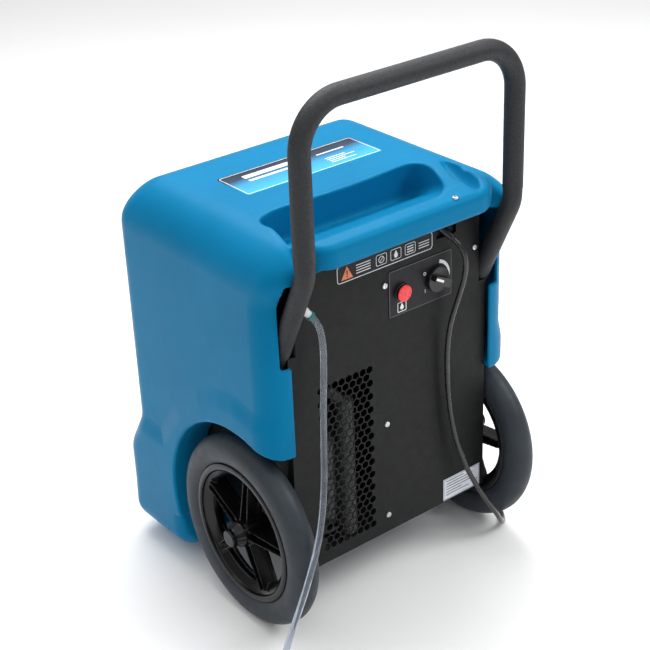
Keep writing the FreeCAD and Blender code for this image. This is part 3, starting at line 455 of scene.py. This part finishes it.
# The toe stands out in front. Low down the hood ends at TOE_REAR, behind the toe, and from TOE_REAR_Z
# upwards that cut moves CLEAR_OF_TOE further back, where it takes nothing away.
TOE_OUT, TOE_D, TOE_Z = 31.4, (270.0, 369.0), (158.0, 232.0)
TOE_REAR, TOE_REAR_ROUND, TOE_REAR_Z, CLEAR_OF_TOE = 232.0, 36.0, (90.0, 150.0), 400.0

# The sides swell out below a curved shoulder line of (d, z) points
FLARE_OUT, FLARE_X, FLARE_FADE = 6.0, (150.0, 222.0), (-20.0, 16.0)
SHOULDER = [(420, 222), (278, 224), (228, 296), (167, 345), (114, 367), (76, 374), (41, 366), (-20, 360),
            (-20, 0), (420, 0)]

# The lip hangs over the rear panel and slopes down towards its edge
LIP_HALF, LIP_NARROWS, LIP_NARROWS_D = 176.0, 28.0, (-10.0, 80.0)
LIP_D, LIP_ROUND, LIP_EDGE_ROUND = (-50.0, 90.0), 46.0, 9.0
LIP_LOW, LIP_TOP, LIP_FALL, LIP_FALL_D = 603.0, HOOD_TOP - 1.0, 0.24, -20.0

# Storage pocket: its rim as (x, d) points, and d, z at the two ends of its sloping floor
POCKET_RIM = [(-150, 87), (-122, 93), (-69, 86), (-17, 83), (36, 84), (88, 91), (112, 93), (126, 86),
              (129, 70), (127, 51), (116, 23), (103, 1), (90, -14), (72, -30), (40, -40), (-90, -40),
              (-186, -40), (-181, -12), (-172, 13), (-166, 42), (-167, 68), (-161, 81)]
POCKET_NEAR, POCKET_FAR = (-24.0, 636.0), (78.0, 590.0)

# Thumb scoop: the centre and half sizes of an ellipsoid, and its turn in degrees
SCOOP, SCOOP_SIZE, SCOOP_TURN = (149.0, 14.0, 646.0), (15.0, 62.0, 27.0), 17.0

# Wheel arches, as circles of (d, z) centre, cut in as far as the inner face of the wheel wells
ARCH_CENTRE, ARCH_R, WELL_IN = (76.0, 153.0), 176.0, 178.0

# Rooms cut out of the shell: ranges of |x|, d and z, and the radius of the edges
PANEL_ROOM = ((-188.2, 188.2), (-60.0, 40.0), (-20.0, 579.0), 3.0)
HANDLE_ROOM = ((173.0, 205.0), (-60.0, 30.0), (452.0, 586.0), 5.0)
CHASSIS_ROOM = ((-WELL_IN, WELL_IN), (-40.0, 262.0), (-20.0, 300.0), 3.0)
TOE_ROOM = ((-WELL_IN, WELL_IN), (-40.0, 341.0), (84.0, 300.0), 3.0)
INTAKE_OPENING = ((-148.0, 148.0), (350.0, 390.0), (252.0, 552.0), 18.0)

# How far the hood's forms melt into each other
LIP_BLEND, POCKET_FLOOR_BLEND, POCKET_RIM_BLEND, SCOOP_BLEND = 14.0, 14.0, 4.0, 3.0
WELL_BLEND, SHELL_BLEND, ROOM_BLEND, INTAKE_BLEND = 5.0, 2.0, 1.5, 3.0

HOOD_LOW, HOOD_HIGH = (-252.0, -66.0, 12.0), (252.0, 414.0, 652.0)     # box that the hood's surface lies in
HOOD_CELL, HOOD_CELL_QUICK = 3.6, 6.0


def smooth_step(value, low, high):
    """Rise smoothly from nought at low to one at high."""
    t = np.clip((value - low) / (high - low), 0.0, 1.0)
    return t * t * (3 - 2 * t)


def smooth_fall(value, low, high):
    """Fall smoothly from one at low to nought at high."""
    return smooth_step(-value, -high, -low)


def soft_max(a, b, k):
    """The larger of two signed distances, melted together where they differ by less than k."""
    h = np.maximum(k - np.abs(a - b), 0.0) / k
    return np.maximum(a, b) + h * h * k / 4


def soft_min(a, b, k):
    return -soft_max(-a, -b, k)


def slab(u, low, high):
    """Signed distance to the band between low and high."""
    return np.abs(u - (low + high) / 2) - (high - low) / 2


def corner(a, b, radius):
    """Join two signed distances into one with a rounded corner of that radius."""
    p, q = a + radius, b + radius
    return np.hypot(np.maximum(p, 0), np.maximum(q, 0)) + np.minimum(np.maximum(p, q), 0) - radius


def block(x, d, z, across, forward, upward, radius):
    """Signed distance to a box with rounded edges."""
    return corner(corner(slab(x, *across), slab(d, *forward), radius), slab(z, *upward), radius)


def outline_distance(u, v, outline):
    """Signed distance in the plane to a closed outline of straight runs."""
    best, inside = None, None
    for (x0, y0), (x1, y1) in zip(outline, outline[1:] + outline[:1]):
        ex, ey = x1 - x0, y1 - y0
        wx, wy = u - x0, v - y0
        t = np.clip((wx * ex + wy * ey) / (ex * ex + ey * ey), 0.0, 1.0)
        apart = (wx - ex * t) ** 2 + (wy - ey * t) ** 2
        above = (v >= y0) != (v >= y1)
        left = above & (ex * (v - y0) / (ey if ey else 1e-9) > wx)
        best = apart if best is None else np.minimum(best, apart)
        inside = left if inside is None else inside ^ left
    return np.sqrt(best) * np.where(inside, -1.0, 1.0)


def softened(outline, steps=4):
    """Closed smooth curve through the points of an outline."""
    count, made = len(outline), []
    for i in range(count):
        p = [np.array(outline[(i + k - 1) % count], float) for k in range(4)]
        for s in range(steps):
            t = s / steps
            bend = 2 * p[0] - 5 * p[1] + 4 * p[2] - p[3]
            twist = 3 * p[1] - p[0] - 3 * p[2] + p[3]
            made.append(tuple(0.5 * (2 * p[1] + (p[2] - p[0]) * t + bend * t ** 2 + twist * t ** 3)))
    return made


POCKET_OUTLINE = softened(POCKET_RIM)


def lip_distance(x, d, z):
    half = LIP_HALF - LIP_NARROWS * smooth_step(d, *LIP_NARROWS_D)
    plan = corner(np.abs(x) - half, slab(d, *LIP_D), LIP_ROUND)
    level = z + LIP_FALL * np.maximum(LIP_FALL_D - d, 0.0)
    return corner(plan, slab(level, LIP_LOW, LIP_TOP), LIP_EDGE_ROUND)


def pocket_distance(x, d, z):
    slope = (POCKET_NEAR[1] - POCKET_FAR[1]) / (POCKET_FAR[0] - POCKET_NEAR[0])
    floor = (POCKET_NEAR[1] - slope * (d - POCKET_NEAR[0]) - z) / math.hypot(1.0, slope)
    return soft_max(outline_distance(x, d, POCKET_OUTLINE), floor, POCKET_FLOOR_BLEND)


def scoop_distance(x, d, z):
    turn = math.radians(SCOOP_TURN)
    across, along = x - SCOOP[0], d - SCOOP[1]
    u = across * math.cos(turn) - along * math.sin(turn)
    v = across * math.sin(turn) + along * math.cos(turn)
    w = z - SCOOP[2]
    reach = np.sqrt((u / SCOOP_SIZE[0]) ** 2 + (v / SCOOP_SIZE[1]) ** 2 + (w / SCOOP_SIZE[2]) ** 2)
    return (reach - 1.0) * SCOOP_SIZE[0]


def hood_solid(x, d, z):
    """Signed distance to the hood's outer form, with its toe, fenders, lip, pocket and thumb scoop."""
    side = np.abs(x)
    swell = smooth_step(-outline_distance(d, z, SHOULDER), *FLARE_FADE)
    flared = side - FLARE_OUT * swell * smooth_step(side, *FLARE_X)
    ahead = d - TOE_OUT * smooth_fall(z, *TOE_Z) * smooth_step(d, *TOE_D)
    radius = CORNER_ROUND + (SHOULDER_ROUND - CORNER_ROUND) * smooth_step(z, *SHOULDER_Z)
    radius = radius + (FOOT_ROUND - CORNER_ROUND) * smooth_fall(z, *FOOT_Z)
    rear = HOOD_REAR - CORNER_FLARE * smooth_step(z, *CORNER_FLARE_Z) * smooth_step(side, *CORNER_FLARE_X)
    plan = corner(flared - HOOD_HALF, slab(ahead, rear, HOOD_DEPTH), radius)
    body = corner(plan, z - HOOD_TOP, TOP_ROUND)
    body = corner(body, HOOD_FOOT - z, FOOT_ROUND)
    body = soft_min(body, lip_distance(x, d, z), LIP_BLEND)
    body = soft_max(body, -pocket_distance(x, d, z), POCKET_RIM_BLEND)
    return soft_max(body, -scoop_distance(x, d, z), SCOOP_BLEND)


def hood_distance(x, d, z):
    """Signed distance to the hood as a shell with its openings and wheel wells."""
    solid = hood_solid(x, d, z)
    side = np.abs(x)
    around = np.hypot(d - ARCH_CENTRE[0], z - ARCH_CENTRE[1])
    well = np.maximum(around - ARCH_R, WELL_IN - side)
    solid = soft_max(solid, -well, WELL_BLEND)
    behind_toe = TOE_REAR - d - CLEAR_OF_TOE * smooth_step(z, *TOE_REAR_Z)
    solid = corner(solid, behind_toe, TOE_REAR_ROUND)
    shell = soft_max(solid, -solid - WALL, SHELL_BLEND)
    between_wells = np.maximum(around - ARCH_R - WALL - 1.0, side - WELL_IN)
    shell = soft_max(shell, -between_wells, ROOM_BLEND)
    for room in (PANEL_ROOM, HANDLE_ROOM, CHASSIS_ROOM, TOE_ROOM):
        shell = soft_max(shell, -block(side, d, z, *room), ROOM_BLEND)
    return soft_max(shell, -block(side, d, z, *INTAKE_OPENING), INTAKE_BLEND)


PROBE = 0.07                    # half step for taking slopes, in cells
LEAST_SLOPE = 0.3               # keeps the projection steady where two forms melt together


def surface_slope(distance, points, step):
    """Unit outward direction of a surface near each point, and the distance there."""
    here = distance(*points.T)
    slope = np.empty_like(points)
    for axis in range(3):
        moved = points.copy()
        moved[:, axis] += step
        ahead = distance(*moved.T)
        moved[:, axis] -= 2 * step
        slope[:, axis] = (ahead - distance(*moved.T)) / (2 * step)
    length = np.maximum(np.linalg.norm(slope, axis=1), LEAST_SLOPE)[:, None]
    return slope / length, here[:, None] / length


def surface(distance, low, high, cell):
    """Points, outward normals and four-sided faces of the surface where a signed distance is zero."""
    low, high = np.array(low), np.array(high)
    counts = np.ceil((high - low) / cell).astype(int) + 1
    axes = [low[i] + cell * np.arange(counts[i]) for i in range(3)]
    values = distance(axes[0][:, None, None], axes[1][None, :, None], axes[2][None, None, :])
    grid = openvdb.FloatGrid(1000.0)
    grid.copyFromArray(np.ascontiguousarray(values, dtype=np.float32))
    points, quads = grid.convertToQuads(isovalue=0.0)
    points = points.astype(float) * cell + low
    for _ in range(2):
        normals, gap = surface_slope(distance, points, cell * PROBE)
        points -= normals * np.clip(gap, -cell, cell)
    normals, _ = surface_slope(distance, points, cell * PROBE)
    return points, normals, quads


def surface_mesh(name, points, normals, quads):
    """Smooth mesh in metres from points in mm and their normals."""
    mesh = bpy.data.meshes.new(name)
    mesh.vertices.add(len(points))
    mesh.vertices.foreach_set("co", (points * MM).ravel())
    mesh.loops.add(quads.size)
    mesh.loops.foreach_set("vertex_index", quads.astype(np.int32).ravel())
    mesh.polygons.add(len(quads))
    mesh.polygons.foreach_set("loop_start", np.arange(0, quads.size, 4, dtype=np.int32))
    mesh.update(calc_edges=True)
    mesh.validate()
    mesh.shade_smooth()
    mesh.normals_split_custom_set_from_vertices([tuple(n) for n in normals])
    return mesh


def make_hood():
    cell = HOOD_CELL
    points, normals, quads = surface(hood_distance, HOOD_LOW, HOOD_HIGH, cell)
    points[:, 1] += PANEL_Y / MM
    hood = new_object("hood", surface_mesh("hood", points, normals, quads),
                      FINISH["hood_plastic"])
    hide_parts("housing_shell")


make_hood()


# ---------------------------------------------------------------- wheel hubs
# Lengths in mm, from the axle outwards (r) and along it (a), where a grows away from the machine
SPOKES, FIRST_SPOKE = 5, 10.0           # how many, and the first one's turn from upright in degrees
BEAD_R, BEAD_DEEP, BEAD_WIDE = 111.0, 10.0, 4.0
DISH_R, DISH_RIM, DISH_A, RIM_HALF, RIM_WALL = 88.0, 8.0, 2.0, 17.5, 5.0
SPOKE_HALF, SPOKE_NARROWS, SPOKE_NARROWS_R = 9.0, 2.0, (20.0, 95.0)
SPOKE_R = (8.0, DISH_R + 6.0)
WEB_A, RIB_A, RIB_WALL = (-11.0, -8.0), (-14.0, 13.5), 2.4
BOSS_R, CAP_R, BORE_R = 20.5, 13.5, 11.2
BOSS_IN, CAP_OUT, BORE_OUT, BOSS_NARROWS_A = -26.0, 39.5, 31.0, (18.0, 34.0)
RIM_EDGE, BOSS_EDGE, HUB_BLEND, RIB_BLEND = 1.5, 2.5, 3.0, 2.0
HUB_LOW, HUB_HIGH = (-30.0, -114.0, -114.0), (44.0, 114.0, 114.0)       # box that the hub's surface lies in
HUB_CELL, HUB_CELL_QUICK = 1.5, 2.6


def hub_distance(a, p, q):
    """Signed distance to a spoked hub: a is outward along the axle, q up and p along -Y."""
    r = np.hypot(p, q)
    sector = math.radians(360.0 / SPOKES)
    angle = np.arctan2(p, q) - math.radians(FIRST_SPOKE)
    angle = np.abs((angle + sector / 2) % sector - sector / 2)
    along, across = r * np.cos(angle), r * np.sin(angle)
    depth = np.abs(a)
    dish = DISH_R + (BEAD_R - DISH_RIM - DISH_R) * smooth_step(depth, DISH_A, RIM_HALF)
    rim = corner(slab(r, dish, dish + RIM_WALL), depth - RIM_HALF, RIM_EDGE)
    bead = corner(slab(r, BEAD_R - BEAD_DEEP, BEAD_R), slab(depth, RIM_HALF - BEAD_WIDE, RIM_HALF), RIM_EDGE)
    form = soft_min(rim, bead, HUB_BLEND)
    half = SPOKE_HALF - SPOKE_NARROWS * smooth_step(along, *SPOKE_NARROWS_R)
    reach = slab(along, *SPOKE_R)
    web = np.maximum(np.maximum(across - half, slab(a, *WEB_A)), reach)
    ribs = np.maximum(np.maximum(slab(across, half - RIB_WALL, half), slab(a, *RIB_A)), reach)
    form = soft_min(form, soft_min(web, ribs, RIB_BLEND), HUB_BLEND)
    boss_r = BOSS_R - (BOSS_R - CAP_R) * smooth_step(a, *BOSS_NARROWS_A)
    boss = corner(r - boss_r, slab(a, BOSS_IN, CAP_OUT), BOSS_EDGE)
    form = soft_min(form, boss, HUB_BLEND)
    bore = np.maximum(r - BORE_R, a - BORE_OUT)
    return np.maximum(form, -bore)


def make_hubs():
    cell = HUB_CELL
    points, normals, quads = surface(hub_distance, HUB_LOW, HUB_HIGH, cell)
    for side, way in (("left", -1.0), ("right", 1.0)):
        moved = np.stack([way * (points[:, 0] + WHEEL_X / MM), AXLE.y / MM - points[:, 1],
                          AXLE.z / MM + points[:, 2]], axis=1)
        turned_normals = normals * np.array([way, -1.0, 1.0])
        faces = quads[:, ::-1] if way > 0 else quads
        mesh = surface_mesh("hub_" + side, moved, turned_normals, faces)
        hub = new_object("hub_" + side, mesh, FINISH["hub_plastic"], "wheel_" + side)
        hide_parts("wheel_hub_" + side, "hub_cap_" + side)


make_hubs()


# ---------------------------------------------------------------- turned pieces
def lathe(name, outline, centre, slot, body, steps=48):
    """Turn an outline of (radius, distance out from the centre) about a line along Y."""
    points, faces = [], []
    for radius, out in outline:
        for k in range(steps):
            a = 2 * math.pi * k / steps
            points.append(((centre[0] + radius * math.sin(a)) * MM, (centre[1] - out) * MM,
                           (centre[2] + radius * math.cos(a)) * MM))
    for row in range(len(outline) - 1):
        for k in range(steps):
            a, b = row * steps + k, row * steps + (k + 1) % steps
            faces.append((a, a + steps, b + steps, b))
    faces.append(tuple(range((len(outline) - 1) * steps, len(outline) * steps)))
    faces.append(tuple(range(steps - 1, -1, -1)))
    return mesh_object(name, points, faces, FINISH[slot], body, smooth=True)


def make_button():
    """Wide, slightly domed cap with a rounded rim, thin enough to clear the bezel when pressed."""
    outline = [(12.0, -1.1), (12.6, -1.0), (12.9, -0.7), (12.9, -0.4), (12.7, -0.1), (12.2, 0.2), (11.4, 0.4),
               (8.0, 0.55), (4.0, 0.65), (0.6, 0.7)]        # radius, and distance out from the button's face
    centre = (BUTTON.x / MM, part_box("purge_button")[0].y / MM, BUTTON.z / MM)
    lathe("button_cap", outline, centre, "button_red", "button")


make_button()


# ---------------------------------------------------------------- insulated pipe behind the grille
SLEEVE_X, SLEEVE_D, SLEEVE_LOW, SLEEVE_HIGH = -77.5, 18.5, 118.0, 348.0
SLEEVE_R, SLEEVE_RINGS, SLEEVE_AROUND = 13.2, 220, 28
STITCH_RISE, STITCH_PITCH, STITCH_SLANT, STITCH_TURN = 1.3, 9.5, 9.0, 0.3


def make_pipe_sleeve():
    """Knitted sleeve that hides the upright run of the suction pipe."""
    rings, around = SLEEVE_RINGS, SLEEVE_AROUND
    points, faces = [], []
    middle_y = PANEL_Y / MM + SLEEVE_D
    for i in range(rings + 1):
        z = SLEEVE_LOW + (SLEEVE_HIGH - SLEEVE_LOW) * i / rings
        for k in range(around):
            a = 2 * math.pi * k / around
            stitch = (z + STITCH_SLANT * abs(math.sin(a / 2 + STITCH_TURN))) / STITCH_PITCH
            rib = abs(stitch % 1.0 - 0.5) * 2.0
            r = SLEEVE_R + STITCH_RISE * rib
            points.append(((SLEEVE_X + r * math.cos(a)) * MM, (middle_y + r * math.sin(a)) * MM, z * MM))
    for i in range(rings):
        for k in range(around):
            a, b = i * around + k, i * around + (k + 1) % around
            faces.append((a, b, b + around, a + around))
    faces.append(tuple(range(around - 1, -1, -1)))
    faces.append(tuple(range(rings * around, (rings + 1) * around)))
    mesh_object("pipe_sleeve", points, faces, FINISH["insulation"], smooth=True)


make_pipe_sleeve()


# ---------------------------------------------------------------- printed marks
# Each mark is a list of flat outlines in mm, measured across (a) and up or forward (b) on its surface.
def turned(angle, radius, centre=(0.0, 0.0)):
    """Point at a clock angle in degrees from the top, going clockwise."""
    a = math.radians(angle)
    return centre[0] + radius * math.sin(a), centre[1] + radius * math.cos(a)


def rounded_box(x0, x1, z0, z1, radius):
    corners = [(x1 - radius, z1 - radius, 0), (x1 - radius, z0 + radius, 90), (x0 + radius, z0 + radius, 180),
               (x0 + radius, z1 - radius, 270)]
    return [turned(start + 15 * k, radius, (x, z)) for x, z, start in corners for k in range(7)]


def band(outer, inner):
    """Strip between two outlines with the same number of points."""
    count = len(outer)
    return [[outer[i], outer[(i + 1) % count], inner[(i + 1) % count], inner[i]] for i in range(count)]


def border(x0, x1, z0, z1, radius, width):
    inner = rounded_box(x0 + width, x1 - width, z0 + width, z1 - width, max(0.4, radius - width))
    return band(rounded_box(x0, x1, z0, z1, radius), inner)


def disc_ring(centre, outer, inner):
    steps = range(0, 360, 15)
    return band([turned(a, outer, centre) for a in steps], [turned(a, inner, centre) for a in steps])


def bar(x0, x1, z0, z1):
    return [(x0, z0), (x0, z1), (x1, z1), (x1, z0)]


INK_THICK, INK_LIFT, OVERPRINT = 0.14, 0.04, 0.15       # mm; a second ink lies this much higher


def print_marks(name, shapes, ink, place, body="root"):
    """Thin printed film made of flat outlines; place turns (a, b) and a height into a point in mm."""
    mesh = bmesh.new()
    for outline in shapes:
        front = [mesh.verts.new([v * MM for v in place(a, b, INK_THICK)]) for a, b in outline]
        back = [mesh.verts.new([v * MM for v in place(a, b, 0.0)]) for a, b in outline]
        mesh.faces.new(front)
        count = len(outline)
        for i in range(count):
            mesh.faces.new([front[i], back[i], back[(i + 1) % count], front[(i + 1) % count]])
    bmesh.ops.recalc_face_normals(mesh, faces=mesh.faces)
    data = bpy.data.meshes.new(name)
    mesh.to_mesh(data)
    mesh.free()
    return new_object(name, data, ink, body)


def on_rear(surface_y):
    return lambda a, b, height: (a, surface_y / MM - INK_LIFT - height, b)


def on_top(surface_z):
    return lambda a, b, height: (a, b + PANEL_Y / MM, surface_z / MM + INK_LIFT + height)


def mark_hazard_strip():
    x0, x1 = HAZARD_LOW.x / MM, HAZARD_HIGH.x / MM
    z0, z1 = HAZARD_LOW.z / MM, HAZARD_HIGH.z / MM
    place = on_rear(HAZARD_LOW.y)
    white = border(x0 + 1.6, x1 - 1.6, z0 + 1.6, z1 - 1.6, 5.0, 1.0)
    white += [bar(x0 + 36, x0 + 62, z, z + 1.3) for z in (z0 + 8, z0 + 12, z0 + 16, z0 + 20)]
    for left in (x0 + 72, x0 + 99, x0 + 126):
        white += border(left, left + 20, z0 + 6.5, z1 - 6.5, 3.0, 0.8)
    white += disc_ring((x0 + 82, z0 + 15), 5.4, 4.4)
    white += [[(x0 + 78.6, z0 + 11.0), (x0 + 77.9, z0 + 11.7), (x0 + 85.4, z0 + 19.0),
               (x0 + 86.1, z0 + 18.3)]]
    drop = (x0 + 109, z0 + 12.6)
    white += [[(x0 + 109, z0 + 21), (x0 + 112.4, z0 + 14.6), turned(120, 3.6, drop), turned(180, 3.6, drop),
               turned(240, 3.6, drop), (x0 + 105.6, z0 + 14.6)]]
    white += [bar(x0 + 130, x0 + 142, z0 + 10 + 4 * k, z0 + 11.6 + 4 * k) for k in range(3)]
    white += [bar(x0 + 152, x0 + 172, z, z + 1.2) for z in (z0 + 9, z0 + 13, z0 + 17)]
    print_marks("hazard_marks", white, INK_WHITE, place)
    orange = [[(x0 + 9, z0 + 5.6), (x0 + 19.5, z1 - 5.0), (x0 + 30, z0 + 5.6)]]
    print_marks("hazard_triangle", orange, INK_ORANGE, place)
    lifted = on_rear(HAZARD_LOW.y - OVERPRINT * MM)
    black = [[(x0 + 18.6, z0 + 11.6), (x0 + 18.2, z0 + 18.6), (x0 + 20.8, z0 + 18.6), (x0 + 20.4, z0 + 11.6)],
             [turned(a, 1.2, (x0 + 19.5, z0 + 9.0)) for a in range(0, 360, 30)]]
    print_marks("hazard_stroke", black, INK_BLACK, lifted)


KNOB_REST = -60                 # clock angle of the knob's pointer at rest, in degrees from the top
SCALE_TURNS = range(14, 184, 10)                        # clock angles of the crescent round the knob
SCALE_IN, SCALE_OUT, SCALE_THINS = 23.2, 28.6, 4.2      # its radii, and how much thinner it ends


def mark_control_plate():
    x0, x1 = PLATE_LOW.x / MM, PLATE_HIGH.x / MM
    z0, z1 = PLATE_LOW.z / MM, PLATE_HIGH.z / MM
    place = on_rear(PLATE_LOW.y)
    print_marks("plate_outline", border(x0 + 0.8, x1 - 0.8, z0 + 0.8, z1 - 0.8, 3.5, 0.8),
                INK_GREY, place)
    knob = (KNOB.x / MM, KNOB.z / MM)
    button = (BUTTON.x / MM, BUTTON.z / MM)
    last = len(SCALE_TURNS) - 1
    inner = [turned(a, SCALE_IN, knob) for a in SCALE_TURNS]
    outer = [turned(a, SCALE_OUT - SCALE_THINS * k / last, knob) for k, a in enumerate(SCALE_TURNS)]
    white = [[inner[i], outer[i], outer[i + 1], inner[i + 1]] for i in range(last)]
    white += disc_ring(turned(-58, 26.5, knob), 2.6, 1.8)
    low = turned(-122, 26.0, knob)
    white += [bar(low[0] - 0.5, low[0] + 0.5, low[1] - 2.8, low[1] + 2.8)]
    drop = (button[0], button[1] - 24.5)
    bowl = ((75, 3.4), (120, 3.8), (180, 3.8), (240, 3.8), (285, 3.4))
    round_part = [turned(a, radius, drop) for a, radius in bowl]
    white += [[(drop[0], drop[1] + 7.0)] + round_part]
    white += border(drop[0] - 8.5, drop[0] + 8.5, drop[1] - 7.0, drop[1] + 9.0, 2.0, 1.2)
    print_marks("plate_marks", white, INK_WHITE, place)
    front = on_rear(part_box("control_knob")[0].y)
    pointer = [turned(KNOB_REST + a, radius, knob) for a, radius in ((-60, 2), (-6, 17), (6, 17), (60, 2))]
    print_marks("knob_pointer", [pointer], INK_WHITE, front, "knob")


def mark_rating_label():
    x0, x1 = RATING_LOW.x / MM, RATING_HIGH.x / MM
    z0, z1 = RATING_LOW.z / MM, RATING_HIGH.z / MM
    place = on_rear(RATING_LOW.y)
    margin = 0.08
    row_ends = (0.55, 0.80, 0.68, 0.74, 0.50, 0.70)
    grey = [bar(x0 + (x1 - x0) * margin, x0 + (x1 - x0) * end, z1 - 6 - 5 * k, z1 - 4.6 - 5 * k)
            for k, end in enumerate(row_ends)]
    grey += border(x0 + 1.2, x1 - 1.2, z0 + 1.2, z1 - 1.2, 1.5, 0.5)
    grey += border(x1 - 14, x1 - 5, z0 + 5, z0 + 14, 1.0, 0.9)
    print_marks("rating_marks", grey, INK_GREY, place)


def mark_top_label():
    x0, x1 = TOP_LOW.x / MM, TOP_HIGH.x / MM
    d0, d1 = (TOP_LOW.y - PANEL_Y) / MM, (TOP_HIGH.y - PANEL_Y) / MM
    place = on_top(TOP_HIGH.z)
    white = border(x0 + 2, x1 - 2, d0 + 2, d1 - 2, 4.0, 1.1)
    white += [bar(-92, 30, d1 - 27, d1 - 16), bar(-92, -8, d1 - 40, d1 - 34)]
    white += [bar(40, 92, d1 - 27, d1 - 24)]
    white += [bar(40, 40 + length, d0 + 14 + 6 * k, d0 + 16 + 6 * k)
              for k, length in enumerate((46, 30, 52, 38))]
    print_marks("top_label_marks", white, INK_WHITE, place)


mark_hazard_strip()
mark_control_plate()
mark_rating_label()
mark_top_label()


# ---------------------------------------------------------------- floor and light
FLOOR_REACH, WORLD_STRENGTH = 12.0, 0.32
LIGHTS = [                      # name, place, what it aims at, size in metres, power in watts
    ("ceiling", (0, 0, 4.2), (0, 0, 0), (9.0, 9.0), 230.0),
    ("overhead", (0.4, 0.9, 2.5), (0, 0, 0.4), (1.8, 1.8), 58.0),
    ("key", (1.5, -1.7, 2.5), (0, 0, 0.5), (1.2, 1.2), 36.0),
    ("fill", (-2.4, -1.4, 1.6), (0, 0, 0.4), (1.6, 1.6), 6.0),
]


def make_stage():
    mesh = bpy.data.meshes.new("floor")
    corners = [(x * FLOOR_REACH, y * FLOOR_REACH, 0) for x, y in ((-1, -1), (1, -1), (1, 1), (-1, 1))]
    mesh.from_pydata(corners, [], [(0, 1, 2, 3)])
    floor = bpy.data.objects.new("floor", mesh)
    bpy.context.scene.collection.objects.link(floor)
    shader = Shader("floor_paint", (0.94, 0.94, 0.94), 0.9)
    mesh.materials.append(shader.mottle(2.0, 0.01).done())
    world = bpy.data.worlds.new("studio")
    world.use_nodes = True
    background = world.node_tree.nodes["Background"]
    background.inputs["Color"].default_value = (1.0, 1.0, 1.0, 1.0)
    background.inputs["Strength"].default_value = WORLD_STRENGTH
    bpy.context.scene.world = world
    bpy.context.scene.view_settings.view_transform = "Standard"


def make_light(name, place, target, size, power):
    data = bpy.data.lights.new(name, "AREA")
    data.shape = "RECTANGLE"
    data.size, data.size_y = size
    data.energy = power
    lamp = bpy.data.objects.new(name, data)
    lamp.location = place
    aim = Vector(target) - Vector(place)
    lamp.rotation_euler = aim.to_track_quat("-Z", "Y").to_euler()
    bpy.context.scene.collection.objects.link(lamp)


make_stage()
for light in LIGHTS:
    make_light(*light)
